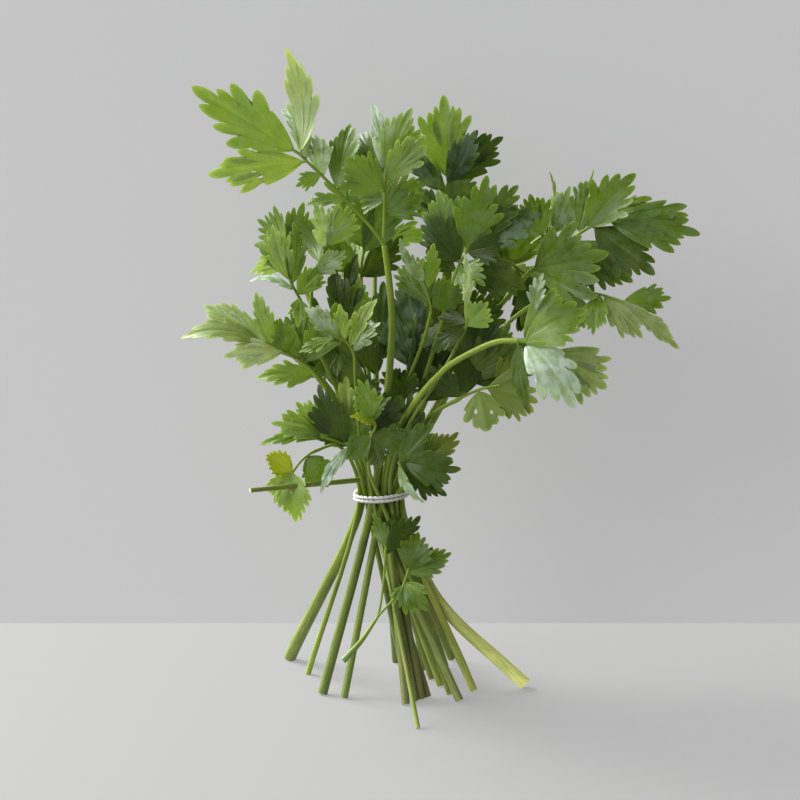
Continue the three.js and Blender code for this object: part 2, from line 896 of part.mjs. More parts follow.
// The string: two turns round the bundle, ending in a knot with two short tails at the back.
const knotAngle = (115 * Math.PI) / 180;
const knotAxis = new THREE.Vector3(0, 0, 1);
const stringPath = [];
const stringSteps = 18 * stringTurns;
for (let i = 0; i <= stringSteps; i++) {
  const angle = knotAngle + (2 * Math.PI * stringTurns * i) / stringSteps;
  const height = stringPitch * stringTurns * (i / stringSteps - 0.5);
  const radius = bundleRadius + stringRadius;
  stringPath.push(new THREE.Vector3(radius * Math.cos(angle), radius * Math.sin(angle), height));
}
const stringGirth = [2 * stringRadius, 2 * stringRadius];
const knot = new THREE.SphereGeometry(1.7, 6, 5);
knot.scale(0.8, 1, 1.1);
knot.translate(bundleRadius + 1.6, 0, 0);
knot.rotateZ(knotAngle);
const tailPaths = [
  [[11.2, 0, 0.4], [13, 2.5, 0.6], [14, 5.5, -1.5]],
  [[11.2, 0, -0.4], [12.6, 3, -2], [12.4, 5.4, -5.4]],
];
let string = solid(stalk(stringPath, stringGirth, 5)).add(solid(knot));
for (const tail of tailPaths) {
  const path = tail.map((p) => vector(p).applyAxisAngle(knotAxis, knotAngle));
  string = string.add(solid(stalk(path, stringGirth, 5)));
}
addPiece("tie_string", clearOf(string), new THREE.Color(0xe8e4dc), 0.9);
take(solid(stalk(stringPath, stringGirth, 5, clearance)));

// The leaves: a midstalk with its leaflets, grown together.
function leafBody(start, leaf, grow) {
  const line = [start, ...leaf.stalk.map(vector)];
  let body = solid(stalk(line, rachisGirth, stalkSides, grow));
  for (const [share, x, y, z, turn, lift, breadth] of leaf.leaflets) {
    const plate = blade(pointOn(line, share), vector([x, y, z]), turn, lift, breadth, grow);
    body = body.add(solid(plate));
  }
  return body;
}

for (const [i, sprig] of sprigs.entries()) {
  for (const [k, leaf] of sprig.leaves.entries()) {
    const wanted = vector(sprig.rise[leaf.from ?? sprig.rise.length - 1]);
    const start = stemLines[i].reduce((best, p) => (p.distanceTo(wanted) < best.distanceTo(wanted) ? p : best));
    const suffix = sprig.leaves.length > 1 ? "ab"[k] : "";
    const body = clearOf(leafBody(start, leaf, 0));
    addPiece(`leaf_${sprig.name}${suffix}`, body, leafColour(((i * 7) % 10) / 10), 0.45);
    take(leafBody(start, leaf, clearance));
  }
}

// ---- origin under the middle of the bounding box, on the floor ----

const box = new THREE.Box3().setFromObject(group);
const middle = box.getCenter(new THREE.Vector3());
group.position.set(-middle.x, -middle.y, -box.min.z);
group.updateMatrixWorld(true);

export default group;
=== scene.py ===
import math
import random

import bpy
import numpy as np
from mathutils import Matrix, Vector


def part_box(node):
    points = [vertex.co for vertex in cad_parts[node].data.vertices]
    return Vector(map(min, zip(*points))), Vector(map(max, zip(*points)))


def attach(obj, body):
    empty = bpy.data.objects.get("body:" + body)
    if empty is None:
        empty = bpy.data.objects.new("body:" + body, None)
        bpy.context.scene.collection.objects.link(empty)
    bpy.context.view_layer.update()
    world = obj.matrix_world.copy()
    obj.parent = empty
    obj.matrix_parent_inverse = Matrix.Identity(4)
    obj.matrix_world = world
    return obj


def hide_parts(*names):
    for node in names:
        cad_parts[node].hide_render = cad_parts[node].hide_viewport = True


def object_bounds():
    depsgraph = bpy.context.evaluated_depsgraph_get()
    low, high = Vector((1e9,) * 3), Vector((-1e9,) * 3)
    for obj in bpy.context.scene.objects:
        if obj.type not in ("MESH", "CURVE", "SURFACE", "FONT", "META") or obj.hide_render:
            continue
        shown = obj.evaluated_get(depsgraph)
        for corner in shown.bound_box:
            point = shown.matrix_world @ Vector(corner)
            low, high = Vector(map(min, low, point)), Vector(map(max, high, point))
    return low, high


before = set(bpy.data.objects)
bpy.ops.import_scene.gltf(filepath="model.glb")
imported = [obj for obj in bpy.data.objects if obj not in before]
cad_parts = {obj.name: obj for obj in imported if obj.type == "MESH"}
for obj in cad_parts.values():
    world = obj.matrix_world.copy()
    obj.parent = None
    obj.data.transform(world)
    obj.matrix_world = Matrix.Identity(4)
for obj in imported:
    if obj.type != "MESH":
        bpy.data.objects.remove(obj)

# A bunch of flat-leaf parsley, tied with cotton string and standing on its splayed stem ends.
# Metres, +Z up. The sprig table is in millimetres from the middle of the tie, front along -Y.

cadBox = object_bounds()
mm = 0.001

tieFit = {
    "height": 80.0,      # floor to the middle of the tie
    "outside": 11.5,     # middle of the tie to the outside of the string
}

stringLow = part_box("tie_string")[0]
tieMiddle = np.array([
    stringLow.x + tieFit["outside"] * mm,
    stringLow.y + tieFit["outside"] * mm,
    cadBox[0].z + tieFit["height"] * mm,
])


def place(points):
    # millimetres from the tie to metres in the frame
    return tieMiddle + np.asarray(points, float) * mm


# camera

cameraView = {
    "distance": 0.95,
    "elevation": 10.0,
    "fieldOfView": 19.37,
    "aim": (7.6, 0, 38.8),
}


def addCamera(view):
    rise = math.radians(view["elevation"])
    aim = Vector(place(view["aim"]))
    back = Vector((0, -math.cos(rise), math.sin(rise)))
    camera = bpy.data.objects.new("camera", bpy.data.cameras.new("camera"))
    camera.data.angle = math.radians(view["fieldOfView"])
    camera.location = aim + back * view["distance"]
    camera.rotation_euler = (-back).to_track_quat("-Z", "Y").to_euler()
    bpy.context.scene.collection.objects.link(camera)
    bpy.context.scene.camera = camera


addCamera(cameraView)
print("camera placed")

# the sprigs: the same table as the construction's. Each has its girth at foot and crown, the
# points its stem rises through above the tie, and its leaves. A leaf has the points of its
# midstalk, and leaves the stem at its last point unless "from" names another. A leaflet is where
# on the midstalk it springs, 0 to 1; its tip's x, y and z; how far it turns to the right of
# facing forward and lifts, in degrees; and its breadth. A stem that the string does not hold also
# has its foot, whose height is from the floor.

sprigs = {
    "01": {
        "girth": (3.4, 3),
        "rise": [(3, -12, 47), (4.5, -14, 73), (3, -15, 92), (1.5, -15, 103)],
        "leaves": {
            "a": {"stalk": [(-16, -18, 124), (-32, -21, 140)], "leaflets": [
                (1, -73, -25, 166, -5, 10, 30), (0.97, -35, -14, 180, 160, 10, 15),
                (0.9, -38, -4, 159, 30, 45, 11), (0.75, -33, -22, 127, 170, 20, 9),
                (0.45, -29, -24, 121, 10, 50, 10), (0.7, -25, -12, 148, 0, 30, 13),
                (0.55, -13, -8, 152, -20, 10, 15), (0.9, -67, -28, 132, -5, 10, 18),
            ]},
            "b": {"stalk": [(1.5, -15, 118), (2, -14, 132)], "leaflets": [
                (0.75, -14, -26, 139, 175, -15, 21), (1, 13, -14, 157, -15, 5, 19),
                (0.9, 18, -18, 147, 10, 20, 14), (1, -9, -2, 147, 0, 0, 15), (1, -3, 0, 159, 10, 10, 9),
                (0.45, 17, -18, 124, 5, 0, 18), (0.6, -10, -8, 122, 20, 0, 14),
            ]},
        },
    },
    "02": {
        "girth": (2.6, 2.6),
        "rise": [(7.5, -14, 29), (27, -30, 58), (45, -42, 69), (53, -46, 70)],
        "leaves": {
            "": {"stalk": [(59, -48, 69), (66, -50, 66)], "leaflets": [
                (0.1, 79, -50, 83, 0, 35, 26), (0.3, 74, -60, 48, -15, 45, 19), (1, 89, -42, 50, 0, 15, 26),
                (0.2, 63, -45, 96, -50, 25, 11), (0.05, 54, -52, 42, -50, 10, 10),
            ]},
        },
    },
    "03": {
        "girth": (2.4, 2),
        "rise": [(23, -14, 38), (32, -18, 43)],
        "leaves": {
            "a": {"stalk": [(40, -21, 47), (47, -24, 49)], "leaflets": [
                (0.6, 63, -30, 44, 180, 10, 24), (0.45, 42, -26, 31, 175, -10, 20),
                (0.1, 35, -10, 66, 10, 0, 20), (0.9, 59, -14, 60, -10, 20, 18),
            ]},
            "b": {"from": 1, "stalk": [(33, -15, 48), (35, -13, 52)], "leaflets": [
                (0.6, 58, -8, 56, 0, 20, 22), (1, 30, -8, 74, -10, 0, 16), (0.9, 52, -12, 72, 10, 5, 17),
                (0, 19, -16, 56, -10, 5, 14), (1, 42, -12, 81, 0, 0, 17), (0.7, 62, -10, 66, 5, 10, 15),
            ]},
        },
    },
    "04": {
        "girth": (4.8, 2.6),
        "rise": [(24, 8, 34), (40, 14, 65), (60, 8, 90)],
        "leaves": {
            "": {"stalk": [(67, 5, 96), (74, 3, 102), (82, 1, 108), (90, 0, 112)], "leaflets": [
                (1, 127, -8, 107, 0, 35, 26), (0.75, 101, 0, 131, -15, 15, 26),
                (0.85, 109, -10, 91, 15, 10, 24), (0.55, 101, -3, 87, 5, 0, 20),
                (0.03, 89, -16, 100, 0, 5, 33), (0.65, 86, 16, 128, -10, 0, 15),
                (0.4, 86, -3, 84, 15, 10, 16), (0.95, 112, 20, 112, 150, 30, 20),
            ]},
        },
    },
    "05": {
        "girth": (4, 2.6),
        "rise": [(-12, -2, 24), (-18, -6, 40), (-24, -8, 49)],
        "leaves": {
            "": {"stalk": [(-28, -11, 53), (-31, -12, 57)], "leaflets": [
                (0.3, -49, -16, 52, -10, 30, 15), (1, -46, -10, 74, -20, 10, 14),
                (0.8, -17, -12, 80, 10, 0, 18), (1, -32, -6, 79, 0, 20, 15),
            ]},
        },
    },
    "06": {
        "girth": (2.4, 2),
        "rise": [(-14, -9, 32), (-27, -13, 52), (-34, -14, 58)],
        "leaves": {
            "": {"stalk": [(-40, -16, 62), (-46, -18, 65)], "leaflets": [
                (1, -78, -24, 70, 0, 50, 17), (0.9, -70, -12, 81, -10, 50, 15),
                (0.4, -62, -29, 61, -10, 30, 17), (0.8, -49, -14, 85, -20, 20, 10),
                (0.2, -40, -22, 76, 10, 20, 12),
            ]},
        },
    },
    "07": {
        "girth": (2.4, 1.8),
        "rise": [(-13, 0, 32), (-25, -4, 60), (-32, -6, 80)],
        "leaves": {
            "": {"stalk": [(-34, -7, 84), (-36, -8, 88)], "leaflets": [
                (1, -43, -9, 111, -20, 0, 15), (0.9, -35, -7, 112, 30, 0, 10),
                (0.6, -52, -14, 89, 0, 65, 10), (0.1, -33, -16, 70, 10, 10, 10),
                (0.4, -24, 6, 92, 0, 10, 13),
            ]},
        },
    },
    "08": {
        "girth": (2.2, 1.6),
        "rise": [(-16, 6, 36), (-28, 6, 70), (-28, 5, 87)],
        "leaves": {
            "a": {"stalk": [(-25, 3, 95), (-22, 2, 101)], "leaflets": [
                (0.9, -27, 1, 121, 25, 0, 12), (1, -11, 1, 119, -15, -5, 18),
                (0.2, -14, 0, 100, 10, 10, 11), (0.5, -32, 16, 110, 170, 20, 14),
            ]},
            "b": {"from": 0, "stalk": [(-18, 5, 54), (-15, 3, 66)], "leaflets": [
                (1, -19, 3, 94, 0, 0, 11), (0.95, -11, 6, 98, -10, 0, 11), (0.9, -8, -1, 88, 10, 5, 14),
                (0.7, -24, -4, 47, -10, 20, 13), (0.3, -34, 3, 62, -10, 10, 17),
                (0.1, -27, 9, 80, -20, 0, 15),
            ]},
        },
    },
    "09": {
        "girth": (3, 2.2),
        "rise": [(9, 12, 38), (17, 16, 78), (24, 18, 104)],
        "leaves": {
            "": {"stalk": [(25, 19, 115), (27, 20, 126)], "leaflets": [
                (1, 25, 19, 161, 0, 5, 27), (1, 50, 23, 143, 10, 25, 19), (0.9, 38, 12, 147, 15, 10, 14),
                (0.8, 12, 22, 138, -20, 10, 12), (0.3, 15, 14, 124, -10, 0, 16),
                (0.4, 38, 34, 128, 160, 20, 18),
            ]},
        },
    },
    "10": {
        "girth": (2.6, 2.2),
        "rise": [(15, -2, 38), (24, -4, 70), (30, -6, 92)],
        "leaves": {
            "a": {"stalk": [(33, -6, 98), (36, -6, 103)], "leaflets": [
                (0.6, 42, -10, 131, 0, 5, 22), (1, 55, 2, 127, -5, 10, 20), (0.9, 64, -4, 116, 10, 30, 21),
                (0.2, 17, -2, 114, -10, 5, 19), (0.1, 41, -20, 88, 5, 10, 18),
                (0.5, 30, 14, 118, 175, 10, 16), (0.7, 50, -9, 103, 20, 15, 20),
                (0.3, 23, 3, 124, -15, 0, 18), (0, 17, 0, 101, -10, 0, 13), (0.2, 58, -8, 85, 10, 5, 18),
            ]},
            "b": {"from": 0, "stalk": [(21, 0, 50), (26, 2, 62)], "leaflets": [
                (0.5, 28, -2, 78, 0, 5, 11), (1, 27, 3, 95, 0, 0, 18), (0.9, 50, 4, 82, 10, 10, 19),
                (0.6, 45, 7, 65, 10, 10, 15), (0, 33, 6, 74, 15, 5, 17), (0.1, 14, 8, 76, -10, 0, 15),
                (0, 28, -8, 52, 10, 0, 14),
            ]},
        },
    },
    "11": {
        "girth": (2.6, 2),
        "rise": [(19, 12, 38), (35, 20, 70), (52, 22, 92), (66, 22, 103)],
        "leaves": {
            "a": {"stalk": [(72, 21, 106), (78, 20, 110)], "leaflets": [
                (0.1, 70, 24, 130, 70, 5, 10), (0.4, 77, 20, 124, 0, 10, 14), (1, 86, 19, 131, 65, 10, 8),
                (0, 60, 10, 122, -10, 10, 17), (1, 100, 28, 120, 150, 30, 20),
                (0.2, 58, 34, 112, 170, 20, 20),
            ]},
            "b": {"from": 2, "stalk": [(57, 19, 89), (62, 16, 86)], "leaflets": [
                (1, 84, 10, 76, 0, 20, 18), (0.8, 66, 9, 64, 0, 0, 18), (0.3, 49, 12, 76, -20, 10, 17),
                (0.1, 60, 12, 108, 10, 10, 20), (0.6, 60, 8, 60, -5, 0, 16), (0, 42, 14, 98, -10, 10, 15),
            ]},
        },
    },
    "12": {
        "girth": (2.4, 1.8),
        "rise": [(24, 0, 40), (40, -2, 60), (60, -5, 78), (74, -6, 83)],
        "leaves": {
            "": {"stalk": [(87, -8, 83), (96, -10, 80)], "leaflets": [
                (1, 116, -10, 82, 5, 15, 14), (0.98, 119, -14, 62, 20, 10, 8),
                (0.6, 104, -16, 67, 5, 20, 15), (0.5, 84, -15, 68, -10, 15, 13),
                (0.2, 78, 10, 66, 160, 20, 16),
            ]},
        },
    },
    "13": {
        "girth": (2.2, 1.6),
        "rise": [(8, -2, 38), (17, -6, 64), (20, -8, 76)],
        "leaves": {
            "a": {"stalk": [(19, -9, 82), (17, -11, 88)], "leaflets": [
                (1, 7, -16, 106, -40, 5, 10), (0.7, 21, -12, 104, 0, 5, 9), (0.2, 11, 4, 96, 0, 0, 19),
                (0.1, 33, -6, 88, 10, 0, 16),
            ]},
            "b": {"from": 0, "stalk": [(12, 0, 50), (15, 1, 60)], "leaflets": [
                (1, 9, 3, 90, 0, 0, 17), (1, 19, 1, 84, 20, 10, 10), (0.6, 1, 3, 74, -20, 10, 15),
                (0.9, 23, -3, 71, 30, 20, 8), (0.3, 24, 8, 78, 15, 0, 15), (0, 3, -7, 56, 0, 0, 13),
                (0, 14, -8, 52, 10, 5, 12),
            ]},
        },
    },
    "14": {
        "girth": (1.8, 1.4),
        "rise": [(10, -17, 30), (25, -23, 55), (33, -26, 71)],
        "leaves": {
            "": {"stalk": [(34, -27, 76), (34, -27, 80)], "leaflets": [
                (1, 34, -29, 102, 55, 0, 10), (0.2, 42, -31, 83, 0, 10, 14), (0.1, 19, -24, 62, 10, 30, 10),
                (0.3, 22, -22, 76, -10, 20, 9),
            ]},
        },
    },
    "15": {
        "girth": (1.6, 1.2),
        "rise": [(-9, -18, 31), (-10, -22, 49), (-10.5, -24, 61)],
        "leaves": {
            "": {"stalk": [(-13, -26, 66), (-17, -28, 69)], "leaflets": [
                (0.1, 0, -31, 75, 0, 50, 12), (0.3, -2, -27, 84, -30, 10, 8), (0.6, -16, -26, 82, 0, 20, 9),
                (1, -32, -31, 63, -10, 50, 9), (0.9, -30, -25, 80, -20, 30, 10),
            ]},
        },
    },
    "16": {
        "girth": (2.4, 1.8),
        "rise": [(-10.5, -11, 17), (-13, -13, 22)],
        "leaves": {
            "": {"stalk": [(-18, -16, 25), (-23, -18, 27)], "leaflets": [
                (1, -44, -22, 33, -10, 40, 14), (0.9, -34, -16, 41, -10, 30, 14),
                (1, -48, -24, 24, 0, 50, 8), (0.1, -25, -17, 48, -15, 5, 18),
                (0, -25, -10, 34, -30, 10, 15), (0.05, -14, -6, 50, 10, 0, 14), (0, -5, -14, 35, 0, 5, 13),
                (0, -24, -26, 6, -10, 40, 6),
            ]},
        },
    },
    "17": {
        "girth": (1.8, 1.4),
        "rise": [(-12, -8, 15), (-18, -14, 23), (-28, -21, 21)],
        "leaves": {
            "": {"stalk": [(-32, -23, 18), (-35, -24, 14)], "leaflets": [
                (1, -34, -30, -5, -10, -10, 18), (1, -45.5, -26, 21.5, -10, 20, 12),
                (0.1, -21, -17, 6, 10, -10, 16), (1, -43, -28, 3, -20, 0, 13),
            ]},
        },
    },
    "18": {
        "girth": (2.8, 2),
        "rise": [(13, -13, 10), (14, -16.5, 15)],
        "leaves": {
            "": {"stalk": [(11, -20, 18), (7, -23, 17.5)], "leaflets": [
                (0.1, 31, -20, 29, 40, 25, 15), (0.8, 32, -21, 15, 30, -5, 20), (1, 21, -20, 33, 0, 10, 19),
                (0.9, 26, -27, 5, -10, 30, 16), (1, 18, -30, 3, -50, -10, 8), (0, 11, -10, 44, -20, 5, 14),
            ]},
        },
    },
    "19": {
        "girth": (2, 1.6),
        "rise": [(-5, -17, 14), (-4, -21, 28)],
        "leaves": {
            "": {"stalk": [(-2, -22, 32), (-3, -23, 35)], "leaflets": [
                (1, -9, -27, 52, 20, -10, 13), (0.8, -11, -28, 38, 0, 40, 8), (0.9, 3, -26, 45, -60, 0, 7),
                (0.1, 7, -14, 46, 10, 0, 15), (0.3, -6, -14, 50, -10, 5, 13), (0, 13, -21, 27, 10, 0, 15),
                (0, -14, -24, 19, -10, -5, 13), (0, 0, -23, 15, 5, -5, 11), (0, 8, -18, 44, 5, 0, 15),
            ]},
        },
    },
    "20": {
        "girth": (1.8, 1.4),
        "rise": [(-8, -37, -52), (-1.5, -34, -43)],
        "foot": (-15, -40, 21),
        "leaves": {
            "a": {"stalk": [(1, -30, -30), (2, -26, -16)], "leaflets": [
                (1, -3, -21, -3, -10, -10, 9), (0.95, 16, -24, -4, 5, 0, 15), (0.9, 9, -17, -3, 10, 0, 12),
            ]},
            "b": {"stalk": [(8, -36, -31), (11, -36, -23)], "leaflets": [
                (1, 15, -36, -8, 0, 5, 16), (0.9, 28, -36, -16, 5, 10, 13), (0.7, 17, -43, -38, 5, -20, 17),
                (0.6, 5, -40, -36, -20, 20, 7),
            ]},
        },
    },
    "21": {
        "girth": (2.8, 2.2),
        "rise": [(-14, 20, 34), (-26, 36, 64), (-33, 44, 80)],
        "leaves": {
            "": {"stalk": [(-37, 48, 87), (-41, 52, 93)], "leaflets": [
                (1, -54, 64, 106, -150, 35, 24), (0.8, -34, 66, 112, 170, 30, 20),
                (0.5, -56, 46, 86, -110, 30, 20), (0.2, -36, 70, 78, 180, 20, 20),
                (0.1, -48, 34, 104, -60, 30, 18),
            ]},
        },
    },
    "22": {
        "girth": (2.8, 2.2),
        "rise": [(-2, 22, 36), (-3, 36, 70), (-3, 44, 90)],
        "leaves": {
            "a": {"stalk": [(-3, 48, 100), (-2, 52, 109)], "leaflets": [
                (1, -4, 64, 142, 180, 30, 24), (0.8, 20, 62, 124, 160, 30, 20),
                (0.7, -24, 62, 122, -160, 30, 20), (0.2, 22, 68, 98, 160, 20, 22),
                (0.1, -20, 70, 92, -170, 20, 20),
            ]},
            "b": {"from": 0, "stalk": [(-6, 27, 43), (-8, 30, 50)], "leaflets": [
                (1, -9, 32, 80, 180, 10, 20), (0.8, -26, 30, 66, -160, 10, 18),
                (0.5, -24, 28, 47, -150, 20, 18), (0.9, 6, 34, 68, 170, 15, 18),
            ]},
        },
    },
    "23": {
        "girth": (3, 2.2),
        "rise": [(14, 22, 34), (30, 38, 62), (40, 46, 76)],
        "leaves": {
            "a": {"stalk": [(45, 50, 82), (51, 54, 87)], "leaflets": [
                (1, 76, 64, 104, 140, 35, 24), (0.8, 50, 66, 112, 170, 30, 20),
                (0.5, 76, 46, 80, 110, 20, 20), (0.2, 46, 72, 74, 170, 20, 20),
            ]},
            "b": {"from": 0, "stalk": [(19, 27, 43), (22, 30, 50)], "leaflets": [
                (1, 26, 32, 79, 175, 10, 20), (0.8, 41, 32, 63, 150, 15, 18),
                (0.5, 38, 30, 44, 140, 20, 18), (0.9, 11, 34, 70, 180, 15, 18),
            ]},
        },
    },
    "24": {
        "girth": (2.4, 1.8),
        "rise": [(-4, 8, 36), (-7, 12, 70), (-8, 12, 84)],
        "leaves": {
            "a": {"stalk": [(-8, 11, 92), (-7, 10, 99)], "leaflets": [
                (1, -14, 10, 124, 0, 0, 19), (0.9, 6, 14, 122, 0, 5, 18), (0.3, -27, 10, 104, -10, 0, 17),
                (0.2, 9, 18, 104, 5, 0, 18), (0.1, -16, 26, 100, 180, 20, 18),
            ]},
            "b": {"from": 0, "stalk": [(-2, 5, 48), (0, 4, 56)], "leaflets": [
                (1, 1, 6, 87, 0, 0, 12), (0.5, -6, 3, 66, -10, 10, 13), (0.9, 8, 6, 72, 20, 10, 14),
                (0, -8, -1, 51, -10, 0, 14),
            ]},
        },
    },
}

# leaflet colours, and how much of a leaflet is painted with a pale bluish sheen, a painted reflection of the
# light
leafTints = {
    "bright": (0.22, 0.335, 0.055, 0.07),
    "lime": (0.28, 0.4, 0.08, 0.05),
    "fresh": (0.155, 0.26, 0.018, 0.09),
    "mid": (0.1, 0.178, 0.011, 0.06),
    "deep": (0.062, 0.113, 0.004, 0.05),
    "dark": (0.034, 0.07, 0.002, 0.01),
    # a dark green whose bluish cast, like its sheen, is a painted reflection
    "darkWithPaintedSheen": (0.042, 0.09, 0.016, 0.16),
    "olive": (0.16, 0.21, 0.03, 0.0),
    "yellow": (0.36, 0.41, 0.03, 0.0),
    # greyed mostly by its painted sheen
    "grey": (0.145, 0.22, 0.055, 0.38),
    "soft": (0.2, 0.27, 0.07, 0.08),
    "milky": (0.3, 0.39, 0.16, 0.15),
    # a painted glow: a leaflet lightened as if lit through from behind
    "paintedGlow": (0.5, 0.59, 0.34, 0.15),
    "mist": (0.36, 0.43, 0.27, 0.2),
    # this tint and the next are pale mostly through their painted sheen
    "pale": (0.21, 0.32, 0.06, 0.55),
    "paintedSkySheen": (0.2, 0.3, 0.1, 0.95),
}

# each leaf's usual tint, and the leaflets, by their order in the table, that differ from it in
# tint or form
leafLooks = {
    "01a": ("bright", {
        0: ("bright", {"outline": "long", "bow": 0.0, "wild": 0.3, "holes": ((0.1, 0.4, 0.8),)}),
        1: ("mist", {"outline": "long"}),
        2: ("paintedSkySheen", {"outline": "spear"}),
        3: ("mid", {}),
        5: ("pale", {"outline": "long"}),
        6: ("mid", {"outline": "round"}),
        7: ("lime", {"outline": "broad", "wild": 0.3, "holes": ((0.3, 0.55, 1.1), (0.42, 0.6, 0.9))}),
    }),
    "01b": ("mid", {
        0: ("mid", {"outline": "round"}),
        1: ("fresh", {"outline": "full"}),
        2: ("bright", {"outline": "broad"}),
        3: ("deep", {}),
        4: ("paintedSkySheen", {"outline": "spear"}),
    }),
    "02": ("mid", {
        0: ("fresh", {
            "outline": "round", "bow": 0.1, "wild": 0.4,
            "deep": 0.03, "blunt": 0.25, "stalkWidth": 4.0,
        }),
        1: ("paintedSkySheen", {
            "outline": "lobed", "bow": 0.12, "droop": 0.3,
            "wild": 0.4, "bulge": 0.36, "stalkWidth": 4.0,
        }),
        2: ("milky", {"outline": "full", "stalkWidth": 4.0}),
        3: ("grey", {"outline": "spear", "stalkShare": 0.45}),
        4: ("deep", {}),
    }),
    "03a": ("olive", {
        0: ("olive", {"outline": "round"}),
        1: ("soft", {
            "outline": "lobed", "bulge": 0.4, "deep": 0.0, "wild": 0.4,
            "holes": ((0.36, 0.62, 1.1), (0.64, 0.72, 0.8)),
        }),
        2: ("dark", {}),
    }),
    "03b": ("dark", {2: ("mid", {}), 5: ("mid", {"outline": "long"})}),
    "04": ("mid", {
        0: ("mid", {"outline": "full"}),
        1: ("mid", {"outline": "long"}),
        2: ("deep", {"outline": "round"}),
        4: ("mid", {"outline": "full", "bow": 0.1, "uneven": 0.05, "wild": 0.3}),
        6: ("deep", {}),
    }),
    "05": ("mid", {0: ("lime", {})}),
    "06": ("fresh", {
        0: ("soft", {"outline": "long", "curl": 0.4}),
        1: ("milky", {"outline": "full"}),
        # this leaflet is painted as if glowing with light through it
        2: ("paintedGlow", {"outline": "full"}),
        3: ("bright", {"outline": "long"}),
        4: ("mid", {}),
    }),
    "07": ("bright", {
        0: ("bright", {"outline": "full"}),
        1: ("mid", {}),
        2: ("paintedSkySheen", {"outline": "spear"}),
    }),
    "08a": ("mid", {
        0: ("pale", {"outline": "spear"}),
        1: ("bright", {"outline": "broad"}),
        2: ("pale", {}),
        3: ("dark", {}),
    }),
    "08b": ("dark", {2: ("fresh", {}), 3: ("mid", {})}),
    "09": ("darkWithPaintedSheen", {0: ("bright", {"outline": "full", "curl": 0.5}), 1: ("dark", {"outline": "full"})}),
    "10a": ("mid", {
        0: ("mid", {"outline": "long", "wild": 0.4}),
        1: ("mid", {"outline": "round"}),
        2: ("darkWithPaintedSheen", {"outline": "long", "wild": 0.4}),
        3: ("dark", {}),
        6: ("dark", {}),
        8: ("dark", {}),
        9: ("deep", {"outline": "round"}),
    }),
    "10b": ("dark", {1: ("olive", {"outline": "spear"})}),
    "11a": ("mid", {0: ("grey", {"outline": "spear"}), 1: ("pale", {})}),
    "11b": ("mid", {4: ("dark", {}), 5: ("dark", {})}),
    "12": ("mid", {
        0: ("fresh", {"outline": "broad"}),
        1: ("milky", {"outline": "long"}),
        2: ("milky", {"outline": "full"}),
        3: ("fresh", {}),
    }),
    "13a": ("mid", {0: ("grey", {"outline": "spear"}), 1: ("fresh", {"outline": "spear"})}),
    "13b": ("darkWithPaintedSheen", {
        1: ("pale", {"outline": "crisp"}),
        3: ("pale", {"outline": "crisp"}),
        5: ("dark", {}),
        6: ("deep", {"outline": "long"}),
    }),
    "14": ("mid", {
        0: ("paintedSkySheen", {"outline": "spear"}),
        1: ("bright", {"outline": "round"}),
        2: ("dark", {}),
        3: ("dark", {}),
    }),
    "15": ("bright", {
        0: ("grey", {"outline": "crisp"}),
        1: ("lime", {"outline": "crisp", "curl": 0.5}),
        2: ("lime", {"outline": "crisp", "curl": 0.5}),
        3: ("mid", {"outline": "crisp"}),
        4: ("grey", {"outline": "crisp"}),
    }),
    "16": ("dark", {
        0: ("bright", {"outline": "full"}),
        1: ("bright", {"outline": "full"}),
        2: ("fresh", {}),
        5: ("lime", {}),
        6: ("bright", {}),
        7: ("paintedSkySheen", {"outline": "spear"}),
    }),
    "17": ("lime", {
        0: ("lime", {"outline": "frilly"}),
        1: ("yellow", {"outline": "frilly"}),
        2: ("mid", {"outline": "frilly"}),
    }),
    "18": ("mid", {
        0: ("olive", {"outline": "round"}),
        1: ("deep", {"outline": "broad", "bow": 0.1}),
        2: ("mid", {"outline": "full", "wild": 0.4}),
        3: ("dark", {"outline": "full"}),
        4: ("pale", {"outline": "spear"}),
        5: ("deep", {}),
    }),
    "19": ("dark", {
        0: ("fresh", {"outline": "long"}),
        1: ("yellow", {"outline": "spear"}),
        2: ("mid", {"outline": "spear"}),
        5: ("deep", {"outline": "long"}),
        6: ("mid", {}),
        7: ("deep", {}),
        8: ("deep", {"outline": "long"}),
    }),
    "20a": ("dark", {0: ("mid", {"outline": "spear"}), 1: ("dark", {"outline": "long"})}),
    "20b": ("mid", {0: ("deep", {"outline": "round"}), 1: ("mid", {"outline": "round"})}),
    "21": ("mid", {2: ("pale", {})}),
    "22a": ("mid", {}),
    "22b": ("dark", {}),
    "23a": ("mid", {}),
    "23b": ("dark", {}),
    "24a": ("mid", {1: ("mid", {"outline": "round"}), 3: ("dark", {})}),
    "24b": ("dark", {}),
}

# lines

def smoothLine(points, step):
    # a centripetal Catmull-Rom curve through the points, with a point every step or less
    points = [np.asarray(p, float) for p in points]
    if len(points) == 2:
        count = max(int(np.linalg.norm(points[1] - points[0]) / step), 1)
        return np.array([points[0] + (points[1] - points[0]) * i / count for i in range(count + 1)])
    ends = [2 * points[0] - points[1], *points, 2 * points[-1] - points[-2]]
    line = []
    for a, b, c, d in zip(ends, ends[1:], ends[2:], ends[3:]):
        t1 = np.linalg.norm(b - a) ** 0.5
        t2 = t1 + np.linalg.norm(c - b) ** 0.5
        t3 = t2 + np.linalg.norm(d - c) ** 0.5
        count = max(int(np.linalg.norm(c - b) / step), 1)
        for i in range(count):
            t = t1 + (t2 - t1) * i / count
            ab = a + (b - a) * t / t1
            bc = b + (c - b) * (t - t1) / (t2 - t1)
            cd = c + (d - c) * (t - t2) / (t3 - t2)
            abc = ab + (bc - ab) * t / t2
            bcd = bc + (cd - bc) * (t - t1) / (t3 - t1)
            line.append(abc + (bcd - abc) * (t - t1) / (t2 - t1))
    line.append(points[-1])
    return np.array(line)


